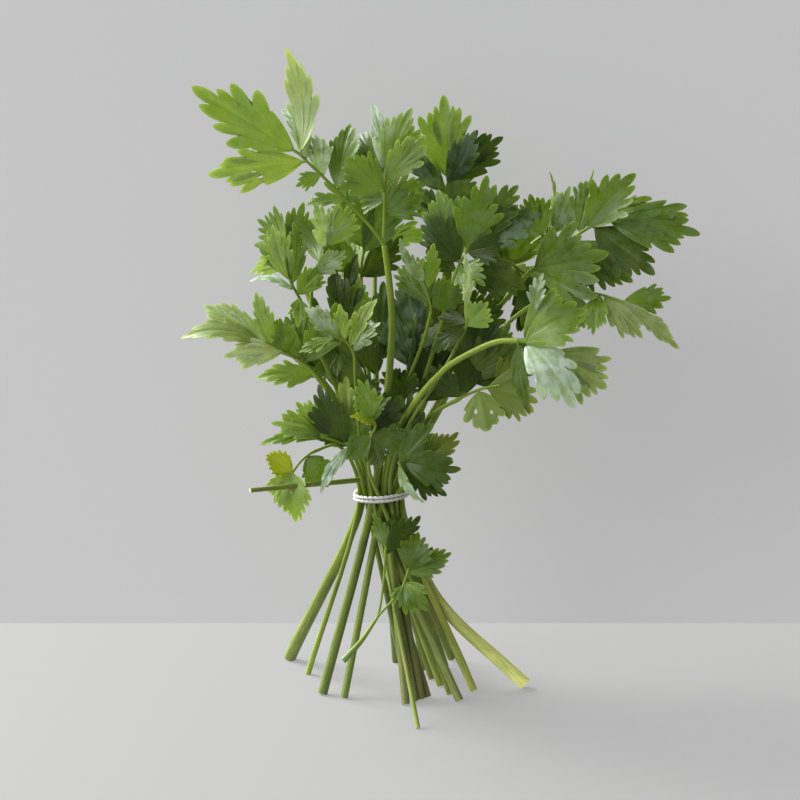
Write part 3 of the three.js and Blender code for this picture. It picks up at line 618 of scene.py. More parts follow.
def lengthsAlong(line):
    return np.concatenate([[0], np.cumsum(np.linalg.norm(np.diff(line, axis=0), axis=1))])


def unit(v):
    return v / max(np.linalg.norm(v), 1e-12)


# stems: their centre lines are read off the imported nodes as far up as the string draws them
# together, and follow the table above that

stemFit = {
    "levelStep": 6.0,
    "leastStep": 4.02,   # between a stem's lowest point and the second level
    "lowestLevel": 1.2,  # above that point
    "highestLevel": 54.0,
    "lineStep": 2.5,
    "swell": 1.16,       # a round stem against its six-sided solid
    "crownSlim": 0.82,
}


def sliceMiddle(node, height):
    # the middle of a node's outline at a height above the tie
    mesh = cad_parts[node].data
    count = len(mesh.vertices)
    spots = np.empty(count * 3)
    mesh.vertices.foreach_get("co", spots)
    spots = spots.reshape(-1, 3)
    mesh.calc_loop_triangles()
    corners = np.empty(len(mesh.loop_triangles) * 3, int)
    mesh.loop_triangles.foreach_get("vertices", corners)
    triangles = spots[corners.reshape(-1, 3)]
    z = tieMiddle[2] + height * mm
    middles, weights = [], []
    for triangle in triangles[(triangles[..., 2].min(1) < z) & (triangles[..., 2].max(1) > z)]:
        cuts = []
        for p, q in ((0, 1), (1, 2), (2, 0)):
            a, b = triangle[p], triangle[q]
            if (a[2] - z) * (b[2] - z) < 0:
                cuts.append(a + (b - a) * (z - a[2]) / (b[2] - a[2]))
        if len(cuts) == 2:
            middles.append((cuts[0] + cuts[1]) / 2)
            weights.append(np.linalg.norm(cuts[1] - cuts[0]))
    if not middles:
        return None
    middle = np.average(middles, axis=0, weights=weights)
    return (middle - tieMiddle) / mm


def stemLine(name, sprig):
    rise = sprig["rise"]
    low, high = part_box("stem_" + name)
    lowest = (low.z - tieMiddle[2]) / mm
    held = []
    if "foot" not in sprig:
        top = min(stemFit["highestLevel"], rise[-1][2] - stemFit["levelStep"])
        step = stemFit["levelStep"]
        levels = [lowest + stemFit["lowestLevel"]]
        second = lowest + stemFit["leastStep"]
        levels += [k * step for k in range(-20, 20) if second < k * step <= top]
        held = [sliceMiddle("stem_" + name, level) for level in levels]
        held = [p for p in held if p is not None]
        free = [p for p in rise if p[2] > held[-1][2] + step / 2]
    else:
        foot = (sprig["foot"][0], sprig["foot"][1], sprig["foot"][2] - tieFit["height"])
        free = [foot, *rise]
    line = smoothLine([*held, *free], stemFit["lineStep"])
    if held:
        # the end is cut square, and its lower edge rests on the floor
        down = unit(line[0] - line[1])
        tilt = math.sqrt(max(1 - down[2] ** 2, 0))
        end = max(lowest, -tieFit["height"]) + 0.5 * sprig["girth"][0] * tilt
        line[0] = line[0] + down * (line[0][2] - end) / max(-down[2], 0.3)
    return line

# leaflets

leafletOutlines = {
    # half an outline from the tip down, tooth tips and notches in turn: across as a share of the
    # half breadth, along as a share of the length; then the teeth in half the middle lobe, and
    # which tooth leads the side lobe
    "full": (((0, 1), (0.17, 0.84), (0.36, 0.89), (0.25, 0.68), (0.41, 0.67), (0.16, 0.4), (0.58, 0.85),
              (0.57, 0.66), (0.95, 0.77), (0.7, 0.55), (1, 0.53)), 3, 4),
    "broad": (((0, 1), (0.18, 0.8), (0.42, 0.85), (0.22, 0.46), (0.62, 0.84), (0.58, 0.63), (0.98, 0.7),
               (0.72, 0.5), (0.9, 0.44)), 2, 3),
    "long": (((0, 1), (0.17, 0.85), (0.4, 0.88), (0.3, 0.62), (0.72, 0.73), (0.5, 0.52), (1, 0.55),
              (0.66, 0.38), (0.74, 0.33)), 2, 2),
    "round": (((0, 1), (0.16, 0.86), (0.38, 0.91), (0.38, 0.75), (0.63, 0.78), (0.36, 0.47), (0.93, 0.7),
               (0.76, 0.53), (0.98, 0.47)), 3, 3),
    "lobed": (((0, 1), (0.24, 0.83), (0.5, 0.88), (0.5, 0.62), (0.96, 0.7), (0.72, 0.46),
               (0.88, 0.38)), 2, 2),
    "small": (((0, 1), (0.2, 0.74), (0.46, 0.8), (0.28, 0.42), (0.95, 0.7), (0.62, 0.47), (0.82, 0.4)), 2, 2),
    "frilly": (((0, 1), (0.12, 0.9), (0.28, 0.95), (0.32, 0.82), (0.52, 0.86), (0.5, 0.7), (0.76, 0.74),
                (0.72, 0.6), (0.98, 0.58), (0.82, 0.46), (0.94, 0.4), (0.7, 0.3), (0.72, 0.24)), 3, 4),
    "spear": (((0, 1), (0.2, 0.8), (0.46, 0.83), (0.36, 0.6), (0.8, 0.65), (0.52, 0.42), (1, 0.44)), 2, 2),
    "crisp": (((0, 1), (0.12, 0.68), (0.36, 0.86), (0.14, 0.4), (0.7, 0.82), (0.42, 0.52), (1, 0.58),
               (0.3, 0.26), (0.62, 0.28)), 2, 2),
}

bladeForm = {
    "outline": None,
    "thickness": 0.34,
    "stalkShare": 0.05,     # bare stalk of a leaflet, as a share of its length
    "stalkWidth": 1.6,      # of the blade where it leaves its stalk
    "jitter": 0.045,
    "uneven": 0.22,         # how much smaller one side may be
    "bulge": 0.26,          # how round a tooth is
    "bulgeLean": 0.7,       # where on the way from notch to tip it bulges most
    "blunt": 0.15,          # how far a tooth's tip is drawn in
    "deep": 0.1,            # how far the notches are drawn in
    "baseBulge": 0.11,      # how full the edge is between foot and first tooth
    "root": 0.06,           # where the lobes' veins part, as a share of the length
    "veinBend": 0.55,       # how far a tooth's vein follows its lobe's before it leaves
    "veinSlope": 1.5,       # how far down that vein it leaves, to its distance aside
    "rings": 9,
    "evening": 14,          # rounds of smoothing of the spokes' spacing
    "fold": 0.08,           # valley along the middle vein
    "pleat": 0.28,          # valley along each lobe's vein
    "pleatWidth": 1.6,
    "bow": 0.06,
    "droop": 0.0,           # the outer part bending down
    "curl": 0.0,            # side lobes bending towards the upper face
    "twist": 0.0,           # degrees from foot to tip
    "ripple": 0.6,
    "quilt": 0.05,          # how the blade rises between veins
    "edgeThin": 0.45,       # how much thinner the blade is at its edge
    "wild": 1.0,            # how far chance bends it
    "holes": (),            # column and ring shares, and radius in mm
}


def marginOf(length, breadth, form, rng):
    # the margin's points from foot to tip to foot, the bend of the vein to each, and their teeth
    half, middleTeeth, lead = leafletOutlines[form["outline"]]
    size = np.array((0.5 * breadth, length))
    sides = []
    for sign in (-1, 1):
        points = np.array([(sign * x, y) for x, y in half])
        points[1:] += np.array([(rng.uniform(-1, 1), rng.uniform(-1, 1)) for _ in half[1:]]) * form["jitter"]
        points[2:] *= 1 - form["uneven"] * rng.uniform(0, 1) * np.array((1, 0.2))
        points[1::2] *= 1 - form["deep"]
        sides.append(points * size)
    points = np.concatenate([sides[0][:0:-1], sides[1]])
    tips, notches = points[0::2], points[1::2]
    last = len(tips) - 1
    root = np.array((0, form["root"] * length))
    bends = []
    for k, tip in enumerate(tips):
        away = abs(k - last // 2)
        sideLead = last // 2 + lead * (1 if k > last // 2 else -1)
        heading = unit(tips[sideLead] - root) if away >= middleTeeth else np.array((0.0, 1.0))
        reach = (tip - root).dot(heading)
        aside = np.linalg.norm(tip - root - heading * reach)
        branch = root + heading * max(reach - aside * form["veinSlope"], 0.25 * reach)
        bends.append(0.5 * tip + (branch - 0.5 * tip) * form["veinBend"])
    bends = np.array(bends)
    margin, bend, tooth = [], [], []

    def arc(a, b, bulge, lean, shares, bendA, bendB, number):
        side = np.array((a[1] - b[1], b[0] - a[0]))
        control = a + (b - a) * lean + side * bulge
        for t in shares:
            margin.append((1 - t) ** 2 * a + 2 * t * (1 - t) * control + t * t * b)
            bend.append(bendA + (bendB - bendA) * t)
            tooth.append(number)

    foot = np.array((0.5 * form["stalkWidth"], 0.0))
    lean = form["bulgeLean"]
    fine = (0, 0.28, 0.55, 0.8)
    back = (0, 0.2, 0.45, 0.72)
    base = (0.04, 0.1, 0.18, 0.28, 0.4, 0.53, 0.67, 0.8, 0.91)
    for k, tip in enumerate(tips):
        if k == 0:
            arc(foot * (-1, 1), tip, form["baseBulge"], 0.5, base, foot, bends[0], 0)
        else:
            arc(notches[k - 1], tip, form["bulge"], lean, fine, (bends[k - 1] + bends[k]) / 2, bends[k], k)
        if k == last:
            arc(tip, foot, form["baseBulge"], 0.5, [0, *(1 - b for b in reversed(base))], bends[k], foot, k)
        else:
            arc(tip, notches[k], form["bulge"], 1 - lean, back, bends[k], (bends[k] + bends[k + 1]) / 2, k)
    tipColumns = [next(i for i, m in enumerate(margin) if np.allclose(m, tip)) for tip in tips]
    leads = [last // 2 - lead] * (last // 2 - middleTeeth + 1) + [last // 2] * (2 * middleTeeth - 1)
    leads += [last // 2 + lead] * (last // 2 - middleTeeth + 1)
    margin = np.array(margin)
    for c in tipColumns:
        margin[c] += form["blunt"] * ((margin[c - 1] + margin[c + 1]) / 2 - margin[c])
    return margin, np.array(bend), np.array(tooth), np.array(tipColumns), np.array(leads)


def blade(base, tip, turn, lift, breadth, form, rng):
    # one leaflet as a closed thin shell: vertices in mm, faces with those of the rim last, how
    # many come before the rim, four numbers for its veins, and which side it is
    along = unit(tip - base)
    length = np.linalg.norm(tip - base)
    heading, rise = math.radians(turn), math.radians(lift)
    face = np.array([
        math.sin(heading) * math.cos(rise),
        -math.cos(heading) * math.cos(rise),
        math.sin(rise),
    ])
    face = unit(face - along * face.dot(along))
    across = np.cross(along, face)

    margin, bend, tooth, tipColumns, leads = marginOf(length, breadth, form, rng)
    count, rings = len(margin), form["rings"]
    start = np.stack([np.linspace(-0.5, 0.5, count) * form["stalkWidth"], np.zeros(count)], axis=1)
    steps = (np.linspace(0, 1, rings) ** 0.8)[None, :, None]
    flat = (1 - steps) ** 2 * start[:, None] + steps ** 2 * margin[:, None]
    flat += 2 * steps * (1 - steps) * bend[:, None]
    for _ in range(form["evening"]):
        around = flat[:-2, 1:-1] + flat[2:, 1:-1] + flat[1:-1, :-2] + flat[1:-1, 2:]
        flat[1:-1, 1:-1] = 0.5 * flat[1:-1, 1:-1] + 0.125 * around
    ownVein = np.linalg.norm(flat - flat[tipColumns[tooth]], axis=-1)
    lobeVein = np.min([np.linalg.norm(flat - flat[c], axis=-1) for c in tipColumns[np.unique(leads)]], axis=0)
    nearVein = np.min([np.linalg.norm(flat - flat[c], axis=-1) for c in tipColumns], axis=0)
    isLead = tooth == leads[tooth]
    weight = np.where(isLead, np.where(leads[tooth] == (len(leads) - 1) // 2, 1.0, 0.75), 0.35)
    x, y = flat[..., 0], flat[..., 1]
    share = y / length
    reach = np.broadcast_to(steps[..., 0], x.shape)

    z = form["pleat"] * (1 - np.exp(-(lobeVein / form["pleatWidth"]) ** 2)) * np.clip(share * 2, 0, 1)
    z += form["fold"] * (np.sqrt(x ** 2 + 1) - 1)
    z += form["bow"] * length * 4 * share * (1 - share)
    z -= form["droop"] * length * np.clip(share - 0.35, 0, 1) ** 2 * 1.6
    curls = [form["curl"] + rng.uniform(-0.2, 0.2) for _ in range(2)]
    side = np.abs(x) / (0.5 * breadth)
    z += np.where(x < 0, curls[0], curls[1]) * side ** 2 * breadth * 0.35
    wave = rng.uniform(0, 6.28), rng.uniform(5, 8)
    z += form["ripple"] * reach ** 2 * np.sin(wave[0] + wave[1] * np.linspace(0, 1, count))[:, None]
    z += form["ripple"] * 0.5 * np.sin(x * rng.uniform(0.25, 0.4) + wave[0] * 2) * share
    z -= form["quilt"] * np.clip(nearVein, 0, form["pleatWidth"]) * (1 - 0.5 * reach)
    z += rng.uniform(-0.05, 0.05) * x * share
    turnBy = math.radians(form["twist"]) * (share - 0.5)
    x, z = x * np.cos(turnBy) - z * np.sin(turnBy), x * np.sin(turnBy) + z * np.cos(turnBy)

    spots = np.stack([x, y, z], axis=-1)
    normal = np.cross(np.gradient(spots, axis=0), np.gradient(spots, axis=1))
    normal /= np.linalg.norm(normal, axis=-1, keepdims=True) + 1e-12
    normal *= np.where(normal[..., 2:] * normal[count // 2, rings // 2, 2] < 0, -1, 1)
    index = np.arange(count * rings).reshape(count, rings)
    gone = set()
    for columnShare, ringShare, holeRadius in form["holes"]:
        c, r = int(columnShare * (count - 1)), int(ringShare * (rings - 1))
        around = ((-1, -1), (-1, 0), (-1, 1), (0, 1), (1, 1), (1, 0), (1, -1), (0, -1))
        ring = [(c + a, r + b) for a, b in around]
        if 1 < c < count - 2 and 1 < r < rings - 2:
            middle = spots[c, r].copy()
            for i, j in ring:
                spots[i, j] = middle + unit(spots[i, j] - middle) * holeRadius
            gone.update({(c - 1, r - 1), (c - 1, r), (c, r - 1), (c, r)})
    half = 0.5 * form["thickness"] * (1 - form["edgeThin"] * steps)
    top = (spots + normal * half).reshape(-1, 3)
    bottom = (spots - normal * half).reshape(-1, 3)
    total = count * rings
    faces, edges = [], set()
    for c in range(count - 1):
        for r in range(rings - 1):
            if (c, r) not in gone:
                quad = (index[c, r], index[c + 1, r], index[c + 1, r + 1], index[c, r + 1])
                faces.append(quad)
                edges.update(zip(quad, quad[1:] + quad[:1]))
    faces += [tuple(v + total for v in reversed(quad)) for quad in faces]
    plates = len(faces)
    faces += [(q, p, p + total, q + total) for p, q in sorted(edges) if (q, p) not in edges]
    numbers = np.stack([ownVein, np.broadcast_to(weight[:, None], x.shape), share, reach], axis=-1)
    numbers = np.concatenate([numbers.reshape(-1, 4)] * 2)
    local = np.concatenate([top, bottom])
    world = base + local[:, :1] * across + local[:, 1:2] * along + local[:, 2:] * face
    under = np.concatenate([np.zeros(total), np.ones(total)])
    return world, faces, plates, numbers, under

# node trees

def treeOf(name, kind, sockets):
    # a node group with its named sockets, and its input and output nodes
    tree = bpy.data.node_groups.new(name, kind)
    for label, direction, socketKind, value in sockets:
        socket = tree.interface.new_socket(label, in_out=direction, socket_type="NodeSocket" + socketKind)
        if value is not None:
            socket.default_value = value
    return tree, tree.nodes.new("NodeGroupInput"), tree.nodes.new("NodeGroupOutput")


def plug(value, socket):
    # links an input to an output, or sets it to a value
    if isinstance(value, bpy.types.NodeSocket):
        socket.id_data.links.new(value, socket)
    else:
        socket.default_value = value


def plugging(tree):
    # short ways to place nodes, link them, and calculate
    nodes, link = tree.nodes, tree.links.new

    def calc(operation, *values, clamp=False):
        node = nodes.new("ShaderNodeMath")
        node.operation = operation
        node.use_clamp = clamp
        for socket, value in zip(node.inputs, values):
            plug(value, socket)
        return node.outputs[0]

    return nodes, link, calc


def grown(name, mesh, tree, settings):
    # the object that a geometry tree makes of a mesh
    rough = bpy.data.objects.new(name + "Rough", mesh)
    bpy.context.scene.collection.objects.link(rough)
    modifier = rough.modifiers.new(name, "NODES")
    modifier.node_group = tree
    identifiers = {item.name: item.identifier for item in tree.interface.items_tree}
    for label, value in settings.items():
        modifier[identifiers[label]] = value
    graph = bpy.context.evaluated_depsgraph_get()
    finished = bpy.data.meshes.new_from_object(rough.evaluated_get(graph), depsgraph=graph)
    finished.name = name
    bpy.data.objects.remove(rough)
    piece = bpy.data.objects.new(name, finished)
    bpy.context.scene.collection.objects.link(piece)
    return piece


def stalkTree():
    # clothes every wire of a piece in a ribbed stalk, and leaves its blades as they are
    tree, source, result = treeOf("stalks", "GeometryNodeTree", (
        ("Geometry", "INPUT", "Geometry", None),
        ("Geometry", "OUTPUT", "Geometry", None),
        ("Sides", "INPUT", "Int", 16),
        ("Ribs", "INPUT", "Float", 5.0),
        ("Rib Depth", "INPUT", "Float", 0.05),
        ("Skin", "INPUT", "Material", None),
        ("Cut End", "INPUT", "Material", None),
    ))
    nodes, link, calc = plugging(tree)

    def named(name):
        node = nodes.new("GeometryNodeInputNamedAttribute")
        node.data_type = "FLOAT"
        node.inputs["Name"].default_value = name
        return node.outputs["Attribute"]

    wires = nodes.new("GeometryNodeSeparateGeometry")
    wires.domain = "POINT"
    link(source.outputs["Geometry"], wires.inputs["Geometry"])
    link(calc("GREATER_THAN", named("girth"), 0.0), wires.inputs["Selection"])
    curves = nodes.new("GeometryNodeMeshToCurve")
    link(wires.outputs["Selection"], curves.inputs["Mesh"])

    circle = nodes.new("GeometryNodeCurvePrimitiveCircle")
    circle.inputs["Radius"].default_value = 1.0
    link(source.outputs["Sides"], circle.inputs["Resolution"])
    rim = nodes.new("GeometryNodeStoreNamedAttribute")
    rim.data_type = "FLOAT_VECTOR"
    rim.inputs["Name"].default_value = "rim"
    position = nodes.new("GeometryNodeInputPosition")
    link(circle.outputs["Curve"], rim.inputs["Geometry"])
    link(position.outputs[0], rim.inputs["Value"])
    factor = nodes.new("GeometryNodeSplineParameter").outputs["Factor"]
    turns = calc("MULTIPLY", calc("MULTIPLY", factor, 2 * math.pi), source.outputs["Ribs"])
    swell = calc("ADD", calc("MULTIPLY", calc("COSINE", turns), source.outputs["Rib Depth"]), 1.0)
    scaled = nodes.new("ShaderNodeVectorMath")
    scaled.operation = "SCALE"
    link(position.outputs[0], scaled.inputs[0])
    link(swell, scaled.inputs["Scale"])
    ribbed = nodes.new("GeometryNodeSetPosition")
    link(rim.outputs[0], ribbed.inputs["Geometry"])
    link(scaled.outputs[0], ribbed.inputs["Position"])

    stalks = nodes.new("GeometryNodeCurveToMesh")
    stalks.inputs["Fill Caps"].default_value = True
    link(curves.outputs[0], stalks.inputs["Curve"])
    link(ribbed.outputs[0], stalks.inputs["Profile Curve"])
    link(calc("MULTIPLY", named("girth"), 0.5), stalks.inputs["Scale"])
    skin = nodes.new("GeometryNodeSetMaterial")
    link(stalks.outputs[0], skin.inputs["Geometry"])
    link(source.outputs["Skin"], skin.inputs["Material"])

    corners = nodes.new("GeometryNodeInputMeshFaceNeighbors").outputs["Vertex Count"]
    isCap = calc("GREATER_THAN", corners, 4.5)
    smooth = nodes.new("GeometryNodeSetShadeSmooth")
    link(skin.outputs[0], smooth.inputs["Geometry"])
    link(calc("SUBTRACT", 1.0, isCap), smooth.inputs["Shade Smooth"])
    together = nodes.new("GeometryNodeJoinGeometry")
    link(smooth.outputs[0], together.inputs[0])
    link(wires.outputs["Inverted"], together.inputs[0])
    real = nodes.new("GeometryNodeRealizeInstances")
    link(together.outputs[0], real.inputs[0])
    cut = nodes.new("GeometryNodeSetMaterial")
    link(real.outputs[0], cut.inputs["Geometry"])
    link(isCap, cut.inputs["Selection"])
    link(source.outputs["Cut End"], cut.inputs["Material"])
    link(cut.outputs[0], result.inputs[0])
    return tree


class Piece:
    # gathers blades and wires, and makes them one object
    def __init__(self, name):
        self.name = name
        self.vertices, self.edges, self.faces, self.numbers = [], [], [], []
        self.tint, self.girth, self.under, self.along, self.smooth = [], [], [], [], []
        self.count = 0

    def addBlade(self, vertices, faces, plates, numbers, under, tint):
        self.faces += [tuple(v + self.count for v in face) for face in faces]
        self.smooth += [i < plates for i in range(len(faces))]
        count = len(vertices)
        self.extend(vertices, [tint] * count, [0.0] * count, under, [0.0] * count, numbers)

    def addWire(self, line, girths, tints):
        count = len(line)
        self.edges += [(self.count + i, self.count + i + 1) for i in range(count - 1)]
        self.extend(line, tints, girths, [0.0] * count, lengthsAlong(line))

    def extend(self, vertices, tint, girth, under, along, numbers=None):
        self.vertices.append(np.asarray(vertices))
        self.numbers.append(np.zeros((len(vertices), 4)) if numbers is None else numbers)
        self.tint.append(np.asarray(tint))
        self.girth.append(np.asarray(girth))
        self.under.append(np.asarray(under))
        self.along.append(np.asarray(along))
        self.count += len(vertices)

    def finish(self, settings, leaf=None):
        mesh = bpy.data.meshes.new(self.name)
        spots = place(np.concatenate(self.vertices))
        mesh.from_pydata(spots.tolist(), self.edges, self.faces)
        if leaf:
            mesh.materials.append(leaf)
        if self.faces:
            at = np.empty(len(mesh.loops), int)
            mesh.loops.foreach_get("vertex_index", at)
            corners = np.concatenate(self.numbers)[at]
            for name, pair in (("veins", corners[:, :2]), ("margin", corners[:, 2:])):
                layer = mesh.uv_layers.new(name=name)
                layer.data.foreach_set("uv", np.ascontiguousarray(pair, dtype=np.float32).ravel())
            mesh.polygons.foreach_set("use_smooth", self.smooth)
        tint = np.concatenate(self.tint)
        mesh.attributes.new("tint", "FLOAT_COLOR", "POINT").data.foreach_set("color", tint.ravel())
        for name, values in (("girth", self.girth), ("under", self.under), ("along", self.along)):
            values = np.concatenate(values) * (mm if name == "girth" else 1)
            mesh.attributes.new(name, "FLOAT", "POINT").data.foreach_set("value", values)
        return grown(self.name, mesh, stalks, settings)

# finishes

def tools(tree):
    # short ways to place the nodes of a finish
    nodes, link, calc = plugging(tree)

    def mix(factor, a, b, kind="MIX"):
        node = nodes.new("ShaderNodeMix")
        node.data_type = "RGBA"
        node.blend_type = kind
        plug(factor, node.inputs[0])
        plug(a, node.inputs[6])
        plug(b, node.inputs[7])
        return node.outputs[2]

    def times(colour, by):
        return mix(1.0, colour, (*by, 1), "MULTIPLY")

    def spread(value, low, high, outLow=0.0, outHigh=1.0):
        node = nodes.new("ShaderNodeMapRange")
        for socket, number in zip(node.inputs, (value, low, high, outLow, outHigh)):
            plug(number, socket)
        return node.outputs[0]

    def noise(vector, scale, detail=2.0, roughness=0.5):
        node = nodes.new("ShaderNodeTexNoise")
        plug(vector, node.inputs["Vector"])
        node.inputs["Scale"].default_value = scale
        node.inputs["Detail"].default_value = detail
        node.inputs["Roughness"].default_value = roughness
        return node.outputs["Fac"]

    def attribute(name):
        node = nodes.new("ShaderNodeAttribute")
        node.attribute_name = name
        return node

    def bumped(height, strength, distance):
        node = nodes.new("ShaderNodeBump")
        node.inputs["Strength"].default_value = strength
        node.inputs["Distance"].default_value = distance
        link(height, node.inputs["Height"])
        return node.outputs[0]

    return nodes, link, calc, mix, times, spread, noise, attribute, bumped


def finishOf(name, constants):
    # a new material, its principled shader with the values that are the same all over, and tools
    material = bpy.data.materials.new(name)
    material.use_nodes = True
    principled = material.node_tree.nodes["Principled BSDF"]
    for label, value in constants.items():
        principled.inputs[label].default_value = value
    return material, principled, tools(material.node_tree)


def veinGroup():
    # light veins that fork from each lobe's middle vein to its teeth, and the fine net between them
    tree, source, result = treeOf("leafVeins", "ShaderNodeTree", (
        ("Vein Width", "INPUT", "Float", 0.3),
        ("Net Scale", "INPUT", "Float", 900.0),
        ("Veins", "OUTPUT", "Float", None),
        ("Net", "OUTPUT", "Float", None),
        ("Margin", "OUTPUT", "Float", None),
    ))
    nodes, link, calc, mix, times, spread, noise, attribute, bumped = tools(tree)
    veins = nodes.new("ShaderNodeUVMap")
    veins.uv_map = "veins"
    phase = nodes.new("ShaderNodeSeparateXYZ")
    link(veins.outputs[0], phase.inputs[0])
    margin = nodes.new("ShaderNodeUVMap")
    margin.uv_map = "margin"
    share = nodes.new("ShaderNodeSeparateXYZ")
    link(margin.outputs[0], share.inputs[0])
    thinning = spread(share.outputs["X"], 0.1, 1.0, 1.0, 0.45)
    width = calc("MULTIPLY", source.outputs["Vein Width"], calc("MULTIPLY", thinning, phase.outputs["Y"]))
    line = calc("SUBTRACT", 1.0, calc("DIVIDE", phase.outputs["X"], width), clamp=True)
    link(line, result.inputs["Veins"])
    cells = nodes.new("ShaderNodeTexVoronoi")
    cells.feature = "DISTANCE_TO_EDGE"
    link(nodes.new("ShaderNodeTexCoord").outputs["Object"], cells.inputs["Vector"])
    link(source.outputs["Net Scale"], cells.inputs["Scale"])
    link(spread(cells.outputs["Distance"], 0.0, 0.12, 1.0, 0.0), result.inputs["Net"])
    link(spread(share.outputs["Y"], 0.92, 1.0, 0.0, 1.0), result.inputs["Margin"])
    return tree


def leafMaterial(veins):
    finish = {
        "roughness": 0.33,
        "coat": 0.65,
        "throughLight": 0.38,
        "bump": 0.12,
        # what the leaflet's own colour is multiplied by
        "dull": (0.78, 0.86, 0.8),
        "lively": (1.2, 1.12, 1.0),
        "speckle": (1.35, 1.25, 1.2),
        "veins": (1.9, 1.7, 1.9),
        # the lighter edge: partly the leaflet's own, partly painted highlight
        "margin": (2.1, 1.85, 2.2),
        "glow": (1.25, 1.3, 0.5),
        # the colours that its veins and underside lean to, and the pale bluish painted reflection that its
        # sheen leans to
        "paleVein": (0.32, 0.42, 0.12, 1),
        "underside": (0.31, 0.42, 0.12, 1),
        "paintedSheen": (0.69, 0.81, 0.78, 1),
        # how much each shows
        "speckleShare": 0.35,
        "netShare": 0.16,
        "veinShare": 0.3,
        "marginShare": 0.7,
        "undersideShare": 0.3,
    }
    material, principled, nodeTools = finishOf("parsleyLeaf", {
        "Specular IOR Level": 0.38,
        "Coat Roughness": 0.25,
    })
    nodes, link, calc, mix, times, spread, noise, attribute, bumped = nodeTools
    group = nodes.new("ShaderNodeGroup")
    group.node_tree = veins
    tint = attribute("tint").outputs["Color"]
    under = attribute("under").outputs["Fac"]
    where = nodes.new("ShaderNodeTexCoord").outputs["Object"]
    broad = noise(where, 90.0, 2.0)
    fine = noise(where, 900.0, 3.0, 0.6)
    shade = mix(spread(broad, 0.3, 0.7), times(tint, finish["dull"]), times(tint, finish["lively"]))
    speckle = spread(fine, 0.35, 0.75, 0.0, finish["speckleShare"])
    shade = mix(speckle, shade, times(shade, finish["speckle"]))
    paleVein = mix(0.5, times(tint, finish["veins"]), finish["paleVein"])
    shade = mix(calc("MULTIPLY", group.outputs["Net"], finish["netShare"]), shade, paleVein)
    shade = mix(calc("MULTIPLY", group.outputs["Veins"], finish["veinShare"]), shade, paleVein)
    # a lighter band along the edge: partly the leaflet's own paler margin, partly painted highlight where the
    # edges catch the light
    margin = calc("MULTIPLY", group.outputs["Margin"], finish["marginShare"])
    shade = mix(margin, shade, times(tint, finish["margin"]))
    # painted sheen: in patches the base colour leans to a pale bluish painted reflection, less on the
    # underside and on the veins; the more of a leaflet shines, the more evenly it does
    shine = attribute("tint").outputs["Alpha"]
    patches = spread(noise(where, 210.0, 2.0, 0.6), 0.58, 0.42)
    evened = calc("MULTIPLY", calc("SUBTRACT", 1.0, patches), calc("MULTIPLY", shine, 0.5))
    patches = calc("ADD", patches, evened)
    paintedSheen = calc("MULTIPLY", calc("MULTIPLY", patches, shine), spread(under, 0.0, 1.0, 1.0, 0.5))
    paintedSheen = calc("MULTIPLY", paintedSheen, spread(group.outputs["Veins"], 0.0, 1.0, 1.0, 0.55))
    shade = mix(paintedSheen, shade, finish["paintedSheen"])
    shade = mix(under, shade, mix(finish["undersideShare"], shade, finish["underside"]))
    link(shade, principled.inputs["Base Color"])
    rough = spread(fine, 0.3, 0.7, finish["roughness"] - 0.05, finish["roughness"] + 0.08)
    link(calc("ADD", rough, calc("MULTIPLY", under, 0.15)), principled.inputs["Roughness"])
    # the painted sheen's patches also get a clear coat
    link(calc("MULTIPLY", paintedSheen, finish["coat"]), principled.inputs["Coat Weight"])
    relief = calc("ADD", group.outputs["Veins"], calc("MULTIPLY", group.outputs["Net"], 0.35))
    relief = calc("MULTIPLY", relief, spread(under, 0.0, 1.0, -1.0, 1.0))
    relief = calc("ADD", relief, calc("MULTIPLY", fine, 0.5))
    link(bumped(relief, finish["bump"], 0.0004), principled.inputs["Normal"])
    # light that comes through the leaf
    glow = nodes.new("ShaderNodeBsdfTranslucent")
    root = nodes.new("ShaderNodeGamma")
    link(shade, root.inputs[0])
    root.inputs[1].default_value = 0.5
    link(times(root.outputs[0], finish["glow"]), glow.inputs["Color"])
    both = nodes.new("ShaderNodeMixShader")
    both.inputs[0].default_value = finish["throughLight"]
    link(principled.outputs[0], both.inputs[1])
    link(glow.outputs[0], both.inputs[2])
    link(both.outputs[0], nodes["Material Output"].inputs[0])
    return material


